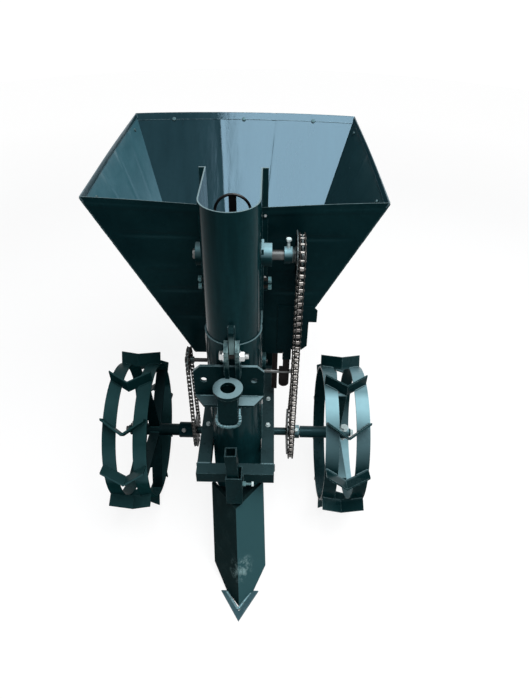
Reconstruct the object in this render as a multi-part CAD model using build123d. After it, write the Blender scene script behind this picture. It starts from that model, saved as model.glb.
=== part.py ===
from build123d import *
import os
from math import asin, atan2, cos, degrees, hypot, pi, radians, sin, sqrt

os.makedirs("parts", exist_ok=True)

# One-row seed drill with a ring-cup elevator, for a walk-behind tractor. Millimetres.
# +X is to the right seen from the hitch, the hitch and the opener are at -Y, +Z is up.
# The origin is on the ground under the middle of the wheel axle.

# ---- ground wheels ----
wheel_r = 200.0            # outer corners of the lugs
wheel_x = 255.0            # middle plane of each wheel
hoop_r = 170.0             # outside of the two hoops
hoop_t = 4.0
hoop_w = 31.0
hoop_gap = 39.0            # between the two hoops of one wheel
lug_count = 10
lug_w = 98.0
lug_t = 4.0
lug_sweep = 34.0           # how far the V's point leads its ends
lug_turn = 4.2             # degrees that the wheels are turned on from a lug lying flat
spoke_count = 5
spoke_w = 25.0
spoke_t = 5.0
spoke_inset_left = 38.0    # spokes sit this far inboard of the wheel's middle
spoke_inset_right = 11.0
weld_sink = 2.0            # how deep welded plates reach into what carries them

# ---- axle ----
shaft_d = 20.0
run_clear = 0.05           # radial clearance of a shaft in a bearing or hub
hub_d = 30.0
hub_start = 155.0          # inner end of the wheel hub tube
hub_past = 25.0            # hub tube past the wheel's middle
axle_past = 5.0            # axle end past the hub tube
collar_d = 40.0
hub_step_d = 34.0          # clamping step of the drive sprockets' hubs
axle_step = (136.0, 153.0) # its x range on the axle
upper_step = (97.0, 113.5) # its x range on the upper shaft
upper_past = 9.0           # upper shaft past the right chain's plane
upper_past_left = 6.0      # upper shaft past the left bearing

# ---- chains and sprockets ----
drive_pitch = 15.875
small_pitch = 12.7
drive_x = 131.0            # plane of the right chain
small_x = -110.0           # plane of the left chain
axle_teeth = 25
upper_teeth = 15
small_axle_teeth = 19
agitator_teeth = 13
cup_teeth = 19
spare_axle_teeth = 22      # second ratio's discs, beside the drive sprockets
spare_upper_teeth = 18
spare_gap = 9.5            # from the drive sprocket's plane to the second disc's
link_gap = 6.0             # between the two rows of side plates
link_t = 1.6
link_h = 12.0
pin_w = 6.0                # square stand-in for a pin with its roller
pin_every = 5              # pitches between the modelled pins
pin_start = 2              # pitches from a sprocket to the first pin
disc_t = 4.4
spare_t = 3.0
tooth_deep = 5.0
tooth_high = 2.6
tooth_foot = 0.38          # share of a pitch from a tooth's middle to its foot
tooth_tip = 0.13           # the same to the corner of its tip
agitator_d = 9.0           # lower cross shaft
agitator_boss_d = 22.0
agitator_boss_w = 8.0
agitator_boss_x = 44.0
agitator_reach = 30.0      # stirring fingers, from the shaft's middle
agitator_size = 6.0
agitator_past = 12.0       # lower shaft past the right side plate
agitator_head_d = 15.0     # bolt head at its left end
agitator_head_t = 6.0
agitator_head_gap = 3.0    # from the sprocket's plane
agitator_hub_d = 16.0
agitator_hub_w = 14.0
cup_hub_d = 40.0
cup_hub_w = 32.0

# ---- elevator ----
shaft_y = -6.0             # upper and lower elevator shafts
upper_z = 725.0
cup_pitches = 6            # chain pitches between cups
cup_count = 9
cup_ring_r = 33.0          # middle of the ring's rod
cup_rod_d = 5.6
cup_bar_w = 14.0
cup_bar_t = 3.0
seat_gap = 0.3
mouth_side = 6.0           # room beside the cups where they swing into the boot
mouth_top = 8.0            # room over their path there

# ---- seed pipe and elevator channel ----
pipe_y = -82.0
pipe_d = 114.0
pipe_wall = 3.0
pipe_bottom = 118.0
pipe_top = 605.0
channel_d = 107.6          # slides into the pipe
channel_wall = 2.5
channel_top = 877.0
channel_sink = 25.0        # how far the channel reaches into the pipe
flange_w = 11.0
flange_t = 3.0
shaft_hole_d = 26.0
rim_gap = 1.0              # between the pipe's rim and the channel's lower edge

# ---- hopper ----
hopper_y = 48.0            # front face of the front panel
hopper_depth = 490.0
hopper_top = 817.0
hopper_bottom = 425.0
hopper_top_half = 300.0
hopper_bottom_half = 102.0
hopper_rear_half = 285.0
hopper_rear_y = 130.0      # rear panel's lower edge
sheet_t = 0.8
floor_t = 2.0

# ---- elevator side plates and boot ----
side_t = 3.0
boot_r = 136.0             # inside of the curved boot
boot_t = 2.0

# ---- frame ----
rail_size = 30.0
rail_wall = 2.5
rail_in = 57.4             # inner face of each rail
rail_top = 272.0
crossbar_y = -190.0        # front face of the front crossbar
frame_rear = 215.0
stay_size = 25.0
stay_wall = 2.0
stay_y = 185.0

# ---- bearings ----
bearing_w = 24.0
bearing_h = 34.0           # half height of the axle bearing's rounded end, from the axle's middle
bearing_len = 70.0
bearing_foot_t = 12.0
lower_bearing_d = 40.0
lower_bearing_w = 8.0
upper_bearing_d = 46.0
upper_bearing_w = 16.0
bracket_t = 4.0
bracket_w = 40.0
bracket_top = 748.0
slot_w = 9.0
slot_low = 640.0
slot_high = 690.0

# ---- hitch ----
hitch_x = -8.0
plate_w = 141.0
plate_t = 6.0
plate_low = 476.0
plate_high = 555.0
plate_corner = 14.0
plate_hole_d = 13.0
plate_hole_span = 101.0
plate_hole_z = 519.0
ledge_w = 28.0             # folded flange under the plate
ledge_corner = 20.0
tube_size = 40.0
tube_wall = 4.0
tube_low = 440.0
tube_high = 519.0
tube_off = 10.0            # spacer pad between the tube and the plate
ring_d = 59.0
ring_bore_d = 30.0
ring_t = 8.0
lug_pair_w = 30.0
lug_pair_gap = 13.0
lug_pair_over = 11.5       # above the pipe's rim
lug_pair_reach = 14.5      # ahead of the hitch plate at the top
lug_pair_foot = 5.0        # the same at the ring
lug_pair_corner = 12.0
tongue_t = 10.0
tongue_over = 47.0         # above the pipe's rim
tongue_under = 11.5        # below it
tongue_reach = 14.0        # ahead of the pipe
tongue_corner = 7.0
tongue_toe = 12.0
clevis_pin_d = 12.0
clevis_pin_under = 18.5    # below the pipe's rim
clevis_pin_ahead = 4.0     # ahead of the hitch plate
clevis_clear = 0.4
clevis_nut_d = 22.0
clevis_nut_t = 8.0
clevis_head_past = 10.0
clevis_thread_past = 18.0

# ---- opener ----
sleeve_size = 36.0
sleeve_wall = 2.5
sleeve_low = 212.0
sleeve_high = 302.0
stem_size = 25.0
stem_wall = 2.5
stem_top = 372.0
stem_low = 60.0
opener_lean = 2.8          # degrees, the stem cocked in its loose sleeve
blade_half = 61.0
blade_depth = 73.0         # front to back of one V plate
blade_t = 8.0
blade_top = 199.0
blade_foot_y = -366.0      # the ridge at the ground
blade_top_y = -232.0       # the ridge at the top edge
heel_y = -250.0            # the plates' lower edge rises from the share to here
heel_z = 43.0
blade_trim = 60.0          # the V is drawn this far past the ground, then trimmed
share_t = 5.0
share_tip_y = -395.0
share_rear_y = -325.0
share_half = 44.0
share_band = 14.0

# ---- chain tensioner and guard plate ----
tension_y = 52.0
tension_z = 364.0
tension_rod_d = 10.0
idler_d = 60.0
idler_w = 5.0
finger_x = 97.0            # rounded stop finger that hangs beside the idler
finger_w = 25.0
finger_t = 12.0
finger_low = 316.0
finger_neck = 16.0         # its upper part, up to the guard plate
finger_high = 422.0
hanger_x = 80.0
hanger_t = 13.0
hanger_w = 22.0
hanger_low = 306.0
hanger_in = 2.0            # behind the hopper's front
guard_t = 3.0
guard_in = 90.0
guard_mid = 160.0
guard_out = 178.0
guard_low = 440.0
guard_tab_x = 104.0        # tab that carries the stop finger
guard_tab_w = 20.0
guard_tab_low = 408.0
guard_step = 522.0
guard_high = 566.0
guard_corner = 12.0

# ---- worked out from the sizes above ----
lug_half_angle = degrees(asin(lug_sweep / 2 / wheel_r))
lug_out = wheel_r * cos(radians(lug_half_angle))
lug_slant = lug_t * hypot(lug_w / 2, lug_sweep) / lug_w
lug_side = lug_sweep / 2 + lug_slant
axle_z = hypot(lug_out, lug_side) * cos(atan2(lug_side, lug_out) - radians(lug_turn))
shaft_r = shaft_d / 2
agitator_r = agitator_d / 2
hub_end = wheel_x + hub_past
axle_half = hub_end + axle_past
pipe_r = pipe_d / 2
channel_r = channel_d / 2
rail_out = rail_in + rail_size
rail_low = rail_top - rail_size
rail_mid = (rail_in + rail_out) / 2
sleeve_y = crossbar_y - sleeve_size / 2


def pitch_radius(teeth, pitch):
    return pitch / (2 * sin(pi / teeth))


cup_chain_r = pitch_radius(cup_teeth, drive_pitch)
lower_z = upper_z - (cup_count * cup_pitches * drive_pitch - 2 * pi * cup_chain_r) / 2
cup_reach = link_h / 2 + seat_gap + cup_ring_r + cup_rod_d / 2
plate_front = pipe_y - pipe_r - plate_t
tube_y = plate_front - tube_off - tube_size / 2
lug_pair_high = pipe_top + lug_pair_over
lug_pair_front = plate_front - lug_pair_reach
tongue_high = pipe_top + tongue_over
tongue_low = pipe_top - tongue_under
clevis_pin_z = pipe_top - clevis_pin_under
clevis_pin_y = plate_front - clevis_pin_ahead


# ---- shape helpers ----
def block(x0, x1, y0, y1, z0, z1):
    """Block between two opposite corners."""
    return Pos((x0 + x1) / 2, (y0 + y1) / 2, (z0 + z1) / 2) * Box(x1 - x0, y1 - y0, z1 - z0)


def rod_x(radius, x0, x1, y, z):
    """Round bar along X."""
    return Pos((x0 + x1) / 2, y, z) * Rot(0, 90, 0) * Cylinder(radius, x1 - x0)


def rod_y(radius, y0, y1, x, z):
    """Round bar along Y."""
    return Pos(x, (y0 + y1) / 2, z) * Rot(90, 0, 0) * Cylinder(radius, y1 - y0)


def rod_z(radius, z0, z1, x, y):
    """Upright round bar."""
    return Pos(x, y, (z0 + z1) / 2) * Cylinder(radius, z1 - z0)


def plate_x(points, x0, x1):
    """Plate between two x values, its outline given as (y, z) points."""
    outline = make_face(Polyline(*points, close=True))
    return extrude(Plane.YZ.offset(x0) * outline, x1 - x0)


def plate_y(points, y0, y1):
    """Plate between two y values, its outline given as (x, z) points."""
    outline = make_face(Polyline(*points, close=True))
    return extrude(Plane.XZ.offset(-y1) * outline, y1 - y0)


def plate_z(points, z0, z1):
    """Plate between two z values, its outline given as (x, y) points."""
    outline = make_face(Polyline(*points, close=True))
    return extrude(Plane.XY.offset(z0) * outline, z1 - z0)


def square_tube_y(x, y0, y1, z, size, wall):
    """Square tube along Y, open at both ends."""
    half = size / 2
    bore = half - wall
    outside = block(x - half, x + half, y0, y1, z - half, z + half)
    return outside - block(x - bore, x + bore, y0 - 1, y1 + 1, z - bore, z + bore)


def square_tube_z(x, y, z0, z1, size, wall):
    """Upright square tube, open at both ends."""
    half = size / 2
    bore = half - wall
    outside = block(x - half, x + half, y - half, y + half, z0, z1)
    return outside - block(x - bore, x + bore, y - bore, y + bore, z0 - 1, z1 + 1)


def belt_path(wheels, pitch, grow):
    """Path of a chain round wheels given as (y, z, radius, turn), grown outward by grow.

    The chain runs counter-clockwise in (y, z). A turn of 1 has the wheel inside the chain, which
    bends round it a pitch at a time, and a turn of -1 is a smooth roller that presses from outside.
    Returns the straight runs, and for each wheel the points where the chain bends.
    """
    spans = []
    for n, (ya, za, ra, ta) in enumerate(wheels):
        yb, zb, rb, tb = wheels[(n + 1) % len(wheels)]
        reach_a, reach_b = ta * ra + grow, tb * rb + grow
        heading = atan2(zb - za, yb - ya) - asin((reach_b - reach_a) / hypot(yb - ya, zb - za))
        ny, nz = -sin(heading), cos(heading)
        spans.append(((ya - reach_a * ny, za - reach_a * nz), (yb - reach_b * ny, zb - reach_b * nz)))
    bends = []
    for n, (y, z, r, turn) in enumerate(wheels):
        start, end = spans[n - 1][1], spans[n][0]
        a0 = atan2(start[1] - z, start[0] - y)
        sweep = (turn * (atan2(end[1] - z, end[0] - y) - a0)) % (2 * pi)
        steps = max(2, round(r * sweep / pitch)) if turn > 0 else 2
        reach = r + turn * grow
        middle = []
        for k in range(1, steps):
            a = a0 + turn * sweep * k / steps
            middle.append((y + reach * cos(a), z + reach * sin(a)))
        bends.append([start] + middle + [end])
    return spans, bends


def belt_face(wheels, pitch, grow):
    """Face inside such a path."""
    spans, bends = belt_path(wheels, pitch, grow)
    edges = [Line(*span) for span in spans]
    for (y, z, r, turn), bend in zip(wheels, bends):
        if turn > 0:
            edges += [Line(a, b) for a, b in zip(bend, bend[1:])]
        else:
            edges.append(ThreePointArc(*bend))
    return make_face(edges)


def chain(x, wheels, pitch):
    """Chain loop: two rows of side plates, joined by pins along the straight runs."""
    band = belt_face(wheels, pitch, link_h / 2) - belt_face(wheels, pitch, -link_h / 2)
    loop = Part()
    for x0 in (x - link_gap / 2 - link_t, x + link_gap / 2):
        loop += extrude(Plane.YZ.offset(x0) * band, link_t)
    reach = (link_gap + link_t) / 2
    spans, bends = belt_path(wheels, pitch, 0)
    for (y0, z0), (y1, z1) in spans:
        length = hypot(y1 - y0, z1 - z0)
        steps = int((length / pitch - 2 * pin_start) // pin_every)
        for n in range(steps + 1):
            share = (pin_start + n * pin_every) * pitch / length
            y = y0 + share * (y1 - y0)
            z = z0 + share * (z1 - z0)
            loop += block(x - reach, x + reach, y - pin_w / 2, y + pin_w / 2, z - pin_w / 2, z + pin_w / 2)
    return loop


def sprocket(x, y, z, teeth, pitch, thickness, bore_r):
    """Toothed disc on a shaft along X."""
    pitch_r = pitch_radius(teeth, pitch)
    root_r = pitch_r - tooth_deep
    tip_r = pitch_r + tooth_high
    corners = [(-tooth_foot, root_r), (-tooth_tip, tip_r), (tooth_tip, tip_r), (tooth_foot, root_r)]
    points = []
    for n in range(teeth):
        for share, r in corners:
            a = 2 * pi * (n + share) / teeth
            points.append((y + r * sin(a), z + r * cos(a)))
    disc = plate_x(points, x - thickness / 2, x + thickness / 2)
    return disc - rod_x(bore_r, x - thickness, x + thickness, y, z)


def ring_x(r_out, r_in, x0, x1, y, z):
    """Ring or collar round an X axis."""
    return rod_x(r_out, x0, x1, y, z) - rod_x(r_in, x0 - 1, x1 + 1, y, z)


# ---- ground wheels, built at the origin with the axle along X ----
def wheel_rim():
    """Two hoops with the V lugs welded across them."""
    rim = Part()
    for side in (-1, 1):
        x = side * (hoop_gap + hoop_w) / 2
        rim += ring_x(hoop_r, hoop_r - hoop_t, x - hoop_w / 2, x + hoop_w / 2, 0, 0)
    half = lug_w / 2
    lead = lug_sweep / 2
    outline = [(-half, lead - lug_slant), (0, -lead - lug_slant), (half, lead - lug_slant),
               (half, lead + lug_slant), (0, lug_slant - lead), (-half, lead + lug_slant)]
    lug = plate_z(outline, hoop_r - weld_sink, lug_out)
    for n in range(lug_count):
        rim += Rot(lug_turn + 360 * n / lug_count, 0, 0) * lug
    return rim


def wheel_hub(side):
    """Hub tube with its spokes, for the wheel at side * wheel_x."""
    x = side * wheel_x
    inner = side * hub_start
    outer = side * hub_end
    hub = rod_x(hub_d / 2, min(inner, outer), max(inner, outer), 0, 0)
    reach = hoop_r - hoop_t
    middle = x - side * (spoke_inset_left if side < 0 else spoke_inset_right)
    for n in range(spoke_count):
        spoke = block(middle - spoke_w / 2, middle + spoke_w / 2, -spoke_t / 2, spoke_t / 2, 0, hoop_r)
        hub += Rot(lug_turn + lug_half_angle + 360 * n / spoke_count, 0, 0) * spoke
    hub = hub & rod_x(reach, -axle_half, axle_half, 0, 0)
    return hub - rod_x(shaft_r + run_clear, -axle_half, axle_half, 0, 0)


# ---- frame ----
def side_rails():
    rails = Part()
    for side in (-1, 1):
        rails += square_tube_y(side * rail_mid, crossbar_y + rail_size, frame_rear - rail_size,
                               rail_top - rail_size / 2, rail_size, rail_wall)
    return rails


def cross_tube(y0):
    """Square tube across the frame, open at its ends."""
    y1 = y0 + rail_size
    tube = block(-rail_out, rail_out, y0, y1, rail_low, rail_top)
    return tube - block(-rail_out - 1, rail_out + 1, y0 + rail_wall, y1 - rail_wall,
                        rail_low + rail_wall, rail_top - rail_wall)


def hopper_stays():
    """Uprights from the rails to the slope of the hopper's rear panel."""
    stays = Part()
    for side in (-1, 1):
        stays += square_tube_z(side * rail_mid, stay_y, rail_top, hopper_top, stay_size, stay_wall)
    return stays - hopper_body(0)


# ---- hopper ----
def meet(a, b, c):
    """Point common to three planes, each given as (nx, ny, nz, d)."""
    def det(p, q, r):
        return (p[0] * (q[1] * r[2] - q[2] * r[1]) - p[1] * (q[0] * r[2] - q[2] * r[0])
                + p[2] * (q[0] * r[1] - q[1] * r[0]))

    def swap(column):
        rows = [list(a[:3]), list(b[:3]), list(c[:3])]
        for row, plane in zip(rows, (a, b, c)):
            row[column] = plane[3]
        return rows

    whole = det(a, b, c)
    return tuple(det(*swap(column)) / whole for column in range(3))


def hopper_planes(inset):
    """Front, rear, left and right wall planes of the hopper, moved in by inset."""
    front = (0.0, -1.0, 0.0, -hopper_y - inset)
    rise = hopper_top - hopper_bottom
    back = hopper_y + hopper_depth - hopper_rear_y
    size = hypot(rise, back)
    ny, nz = rise / size, -back / size
    rear = (0.0, ny, nz, ny * hopper_rear_y + nz * hopper_bottom - inset)
    # the side wall holds the front edge and the rear top corner
    e = (hopper_rear_half - hopper_top_half, hopper_depth, 0.0)
    f = (hopper_bottom_half - hopper_top_half, 0.0, -rise)
    n = (e[1] * f[2] - e[2] * f[1], e[2] * f[0] - e[0] * f[2], e[0] * f[1] - e[1] * f[0])
    size = -sqrt(n[0] ** 2 + n[1] ** 2 + n[2] ** 2)
    n = (n[0] / size, n[1] / size, n[2] / size)
    d = n[0] * hopper_top_half + n[1] * hopper_y + n[2] * hopper_top - inset
    return front, rear, (-n[0], n[1], n[2], d), (n[0], n[1], n[2], d)


def hopper_body(inset):
    """Solid between the hopper's four wall planes, from its bottom to its top."""
    front, rear, left, right = hopper_planes(inset)
    low = (0.0, 0.0, -1.0, -hopper_bottom)
    high = (0.0, 0.0, 1.0, hopper_top)
    walls = (front, right, rear, left)
    rows = []
    for level in (low, high):
        rows.append([meet(walls[n], walls[(n + 1) % 4], level) for n in range(4)])
    faces = [Face(Wire.make_polygon(row, close=True)) for row in rows]
    for n in range(4):
        m = (n + 1) % 4
        quad = [rows[0][n], rows[0][m], rows[1][m], rows[1][n]]
        faces.append(Face(Wire.make_polygon(quad, close=True)))
    return Solid(Shell(faces))


def hopper_panels():
    """Front, rear, left and right panels, meeting face to face."""
    shell = hopper_body(0) - hopper_body(sheet_t)
    deep = hopper_y + hopper_depth
    wide = hopper_top_half
    front_zone = block(-wide, wide, hopper_y, hopper_y + sheet_t, hopper_bottom, hopper_top)
    rise = hopper_top - hopper_bottom
    back = deep - hopper_rear_y
    slope = hypot(rise, back)
    drop = sheet_t * slope / rise
    rear_points = [(hopper_rear_y - drop, hopper_bottom), (hopper_rear_y + drop, hopper_bottom),
                   (deep + drop, hopper_top), (deep - drop, hopper_top)]
    rear_zone = plate_x(rear_points, -wide, wide)
    front = shell & front_zone
    slot = block(-channel_r, channel_r, hopper_y - 1, hopper_y + 2 * sheet_t, hopper_bottom, hopper_top)
    rear = shell & rear_zone
    sides = shell - front_zone - rear_zone
    left = sides & block(-wide, 0, hopper_y, deep, hopper_bottom, hopper_top)
    right = sides & block(0, wide, hopper_y, deep, hopper_bottom, hopper_top)
    return front - slot, rear, left, right


def hopper_floor():
    """Floor strips either side of the boot's mouth."""
    floor = hopper_body(sheet_t)
    floor = floor & block(-hopper_top_half, hopper_top_half, 0, hopper_depth, hopper_bottom,
                          hopper_bottom + floor_t)
    inner = pipe_r - side_t
    return floor - block(-inner, inner, 0, hopper_depth, hopper_bottom - 1, hopper_bottom + floor_t + 1)


# ---- seed pipe, channel and boot ----
def seed_pipe():
    """Round seed pipe, open below and cut open at the back where the cups swing into the boot."""
    pipe = rod_z(pipe_r, pipe_bottom, pipe_top, 0, pipe_y)
    pipe -= rod_z(pipe_r - pipe_wall, pipe_bottom - 1, pipe_top + 1, 0, pipe_y)
    half = cup_ring_r + cup_rod_d + mouth_side
    high = lower_z + cup_chain_r + mouth_top
    return pipe - block(-half, half, pipe_y, pipe_y + pipe_d, lower_z - boot_r, high)


def elevator_channel():
    """U-shaped channel, rounded at the front and open to the hopper, with side flanges."""
    inner = channel_r - channel_wall
    low = pipe_top + rim_gap
    outside = rod_z(channel_r, low - channel_sink, channel_top, 0, pipe_y)
    outside += block(-channel_r, channel_r, pipe_y, hopper_y, low, channel_top)
    bore = rod_z(inner, low - channel_sink - 1, channel_top + 1, 0, pipe_y)
    bore += block(-inner, inner, pipe_y, hopper_y + 1, low - 1, channel_top + 1)
    channel = outside - bore
    channel -= block(-channel_r, channel_r, pipe_y, pipe_y + channel_d, low - channel_sink - 1, low)
    for side in (-1, 1):
        edge = side * channel_r
        lip = side * (channel_r + flange_w)
        channel += block(min(edge, lip), max(edge, lip), hopper_y - flange_t, hopper_y,
                         low, channel_top)
    return channel - rod_x(shaft_hole_d / 2, -pipe_d, pipe_d, shaft_y, upper_z)


def side_plate(side):
    """Side wall of the elevator between pipe, hopper and boot."""
    front = pipe_y + sqrt(pipe_r ** 2 - (pipe_r - side_t) ** 2) - weld_sink
    low_front = (front, lower_z - sqrt(boot_r ** 2 - (front - shaft_y) ** 2))
    low_rear = (shaft_y + sqrt(boot_r ** 2 - (lower_z - hopper_bottom) ** 2), hopper_bottom)
    outline = make_face([
        Line((front, pipe_top), (hopper_y, pipe_top)),
        Line((hopper_y, pipe_top), (hopper_y, hopper_bottom)),
        Line((hopper_y, hopper_bottom), low_rear),
        ThreePointArc(low_rear, (shaft_y, lower_z - boot_r), low_front),
        Line(low_front, (front, pipe_top)),
    ])
    x0 = min(side * pipe_r, side * (pipe_r - side_t))
    plate = extrude(Plane.YZ.offset(x0) * outline, side_t)
    plate -= rod_z(pipe_r, pipe_bottom, pipe_top, 0, pipe_y)
    return plate - rod_x(shaft_hole_d / 2, -pipe_d, pipe_d, shaft_y, lower_z)


def boot():
    """Curved sheet round the cups' lower turn, from the pipe to the hopper's floor."""
    outer_r = boot_r + boot_t
    sheet = ring_x(outer_r, boot_r, -pipe_r, pipe_r, shaft_y, lower_z)
    sheet = sheet & block(-pipe_r, pipe_r, pipe_y, shaft_y + outer_r, lower_z - outer_r, hopper_bottom)
    return sheet - rod_z(pipe_r, 0, pipe_top, 0, pipe_y)


# ---- bearings ----
def axle_bearing(side):
    """Plummer block bolted under a rail."""
    x0 = side * rail_mid - bearing_w / 2
    x1 = side * rail_mid + bearing_w / 2
    foot = block(x0, x1, -bearing_len / 2, bearing_len / 2, rail_low - bearing_foot_t, rail_low)
    body = block(x0, x1, -bearing_h, bearing_h, axle_z, rail_low)
    body += rod_x(bearing_h, x0, x1, 0, axle_z)
    return (foot + body) - rod_x(shaft_r + run_clear, x0 - 1, x1 + 1, 0, axle_z)


def upper_bearing(side):
    """Bearing housing on a slotted bracket, bolted to the channel's side."""
    face = side * channel_r
    back = side * (channel_r + bracket_t)
    tip = side * (channel_r + bracket_t + upper_bearing_w)
    half = bracket_w / 2
    bracket = block(min(face, back), max(face, back), shaft_y - half, shaft_y + half,
                    pipe_top + rim_gap, bracket_top)
    bracket -= block(-pipe_d, pipe_d, shaft_y - slot_w / 2, shaft_y + slot_w / 2, slot_low, slot_high)
    housing = rod_x(upper_bearing_d / 2, min(face, tip), max(face, tip), shaft_y, upper_z)
    return bracket + housing - rod_x(shaft_r + run_clear, -pipe_d, pipe_d, shaft_y, upper_z)


def lower_bearing(side):
    """Flange bearing on the side plate for the agitator shaft."""
    face = side * pipe_r
    tip = side * (pipe_r + lower_bearing_w)
    housing = rod_x(lower_bearing_d / 2, min(face, tip), max(face, tip), shaft_y, lower_z)
    return housing - rod_x(agitator_r + run_clear, -pipe_d, pipe_d, shaft_y, lower_z)


# ---- shafts ----
def axle():
    return rod_x(shaft_r, -axle_half, axle_half, 0, axle_z)


def upper_shaft():
    left = -channel_r - bracket_t - upper_bearing_w - upper_past_left
    return rod_x(shaft_r, left, drive_x + upper_past, shaft_y, upper_z)


def agitator_shaft():
    """Lower cross shaft with a bolt head outside its sprocket and two stirring fingers inside."""
    head_x = small_x - agitator_head_gap
    shaft = rod_x(agitator_r, head_x, pipe_r + agitator_past, shaft_y, lower_z)
    shaft += rod_x(agitator_head_d / 2, head_x - agitator_head_t, head_x, shaft_y, lower_z)
    half = agitator_size / 2
    for side in (-1, 1):
        low = side * agitator_boss_x - agitator_boss_w / 2
        shaft += rod_x(agitator_boss_d / 2, low, low + agitator_boss_w, shaft_y, lower_z)
        shaft += block(side * agitator_boss_x - half, side * agitator_boss_x + half,
                       shaft_y - agitator_reach, shaft_y + agitator_reach, lower_z - half, lower_z + half)
    return shaft


def agitator_sprocket():
    bore_r = agitator_r + run_clear
    disc = sprocket(small_x, shaft_y, lower_z, agitator_teeth, small_pitch, disc_t, bore_r)
    hub_from = small_x - disc_t / 2
    return disc + ring_x(agitator_hub_d / 2, bore_r, hub_from, hub_from + agitator_hub_w, shaft_y, lower_z)


def drive_sprockets(y, z, teeth, spare_teeth, step):
    """Drive sprocket, second disc inboard of it and the hub that carries both."""
    bore_r = shaft_r + run_clear
    spare_x = drive_x - spare_gap
    group = sprocket(drive_x, y, z, teeth, drive_pitch, disc_t, bore_r)
    group += sprocket(spare_x, y, z, spare_teeth, drive_pitch, spare_t, bore_r)
    low = min(step[0], spare_x - spare_t / 2)
    high = max(step[1], drive_x + disc_t / 2)
    group += ring_x(hub_d / 2, bore_r, low, high, y, z)
    return group + ring_x(hub_step_d / 2, bore_r, step[0], step[1], y, z)


def small_sprocket():
    """Left sprocket on the axle with its long hub."""
    bore_r = shaft_r + run_clear
    disc = sprocket(small_x, 0, axle_z, small_axle_teeth, small_pitch, disc_t, bore_r)
    return disc + ring_x(collar_d / 2, bore_r, 1 - hub_start, small_x - disc_t / 2, 0, axle_z)


def cup_sprocket():
    """Toothed disc that carries the cup chain, on a short hub."""
    bore_r = shaft_r + run_clear
    disc = sprocket(0, shaft_y, upper_z, cup_teeth, drive_pitch, disc_t, bore_r)
    return disc + ring_x(cup_hub_d / 2, bore_r, -cup_hub_w / 2, cup_hub_w / 2, shaft_y, upper_z)


# ---- cup chain ----
def cup_places():
    """Middle of each cup's seat on the chain and its outward direction, in (y, z)."""
    run = upper_z - lower_z
    turn = pi * cup_chain_r
    loop = 2 * run + 2 * turn
    places = []
    for n in range(cup_count):
        s = loop * n / cup_count
        if s < turn / 2:
            a = s / cup_chain_r
            places.append((shaft_y, upper_z, -sin(a), cos(a)))
        elif s < turn / 2 + run:
            places.append((shaft_y, upper_z - (s - turn / 2), -1.0, 0.0))
        elif s < 1.5 * turn + run:
            a = pi / 2 + (s - turn / 2 - run) / cup_chain_r
            places.append((shaft_y, lower_z, -sin(a), cos(a)))
        elif s < 1.5 * turn + 2 * run:
            places.append((shaft_y, lower_z + (s - 1.5 * turn - run), 1.0, 0.0))
        else:
            a = (s - loop) / cup_chain_r
            places.append((shaft_y, upper_z, -sin(a), cos(a)))
    return places


def ring_cup():
    """One cup with its seat at the chain's pitch line; it reaches up +Z, its ring across Y."""
    half = cup_rod_d / 2
    ring = rod_y(cup_ring_r + half, -half, half, 0, 0) - rod_y(cup_ring_r - half, -cup_rod_d, cup_rod_d, 0, 0)
    low = link_h / 2 + seat_gap - cup_reach
    bar = block(-cup_bar_w / 2, cup_bar_w / 2, -cup_bar_t / 2, cup_bar_t / 2, low, cup_ring_r)
    return Pos(0, 0, cup_chain_r + cup_reach) * (ring + bar)


def seed_cups():
    cup = ring_cup()
    cups = []
    for y, z, out_y, out_z in cup_places():
        cups.append(Pos(0, y, z) * Rot(degrees(atan2(-out_y, out_z)), 0, 0) * cup)
    return Compound(children=[c.solid() for c in cups])


# ---- hitch ----
def hitch_plate():
    """Upright plate on the seed pipe with a folded ledge below."""
    half = plate_w / 2
    inside = half - plate_corner
    outline = [(hitch_x - half, plate_low), (hitch_x + half, plate_low),
               (hitch_x + half, plate_high - plate_corner), (hitch_x + inside, plate_high),
               (hitch_x - inside, plate_high), (hitch_x - half, plate_high - plate_corner)]
    plate = plate_y(outline, plate_front, plate_front + plate_t)
    front = plate_front - ledge_w
    ledge = [(hitch_x - half, plate_front + plate_t), (hitch_x + half, plate_front + plate_t),
             (hitch_x + half, plate_front), (hitch_x + half - ledge_corner, front),
             (hitch_x - half + ledge_corner, front), (hitch_x - half, plate_front)]
    plate += plate_z(ledge, plate_low - plate_t, plate_low)
    for side in (-1, 1):
        plate -= rod_y(plate_hole_d / 2, plate_front - 1, plate_front + plate_t + 1,
                       hitch_x + side * plate_hole_span / 2, plate_hole_z)
    socket = tube_size / 2
    plate -= block(hitch_x - socket, hitch_x + socket, front - 1, plate_front,
                   plate_low - plate_t - 1, plate_high)
    return plate - rod_z(pipe_r, plate_low - 2 * plate_t, plate_high, 0, pipe_y)


def hitch_tube():
    """Square socket tube with a ring flange on top and a spacer pad to the plate and the pipe."""
    tube = square_tube_z(hitch_x, tube_y, tube_low, tube_high, tube_size, tube_wall)
    tube += rod_z(ring_d / 2, tube_high, tube_high + ring_t, hitch_x, tube_y)
    half = tube_size / 2 - tube_wall
    rear = tube_y + tube_size / 2
    tube += block(hitch_x - half, hitch_x + half, rear, plate_front, plate_low - plate_t, tube_high)
    low_pad = block(hitch_x - half, hitch_x + half, rear, pipe_y, tube_low, plate_low - plate_t)
    tube += low_pad - rod_z(pipe_r, tube_low - 1, plate_low, 0, pipe_y)
    return tube - rod_z(ring_bore_d / 2, tube_high - 1, tube_high + ring_t + 1, hitch_x, tube_y)


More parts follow.
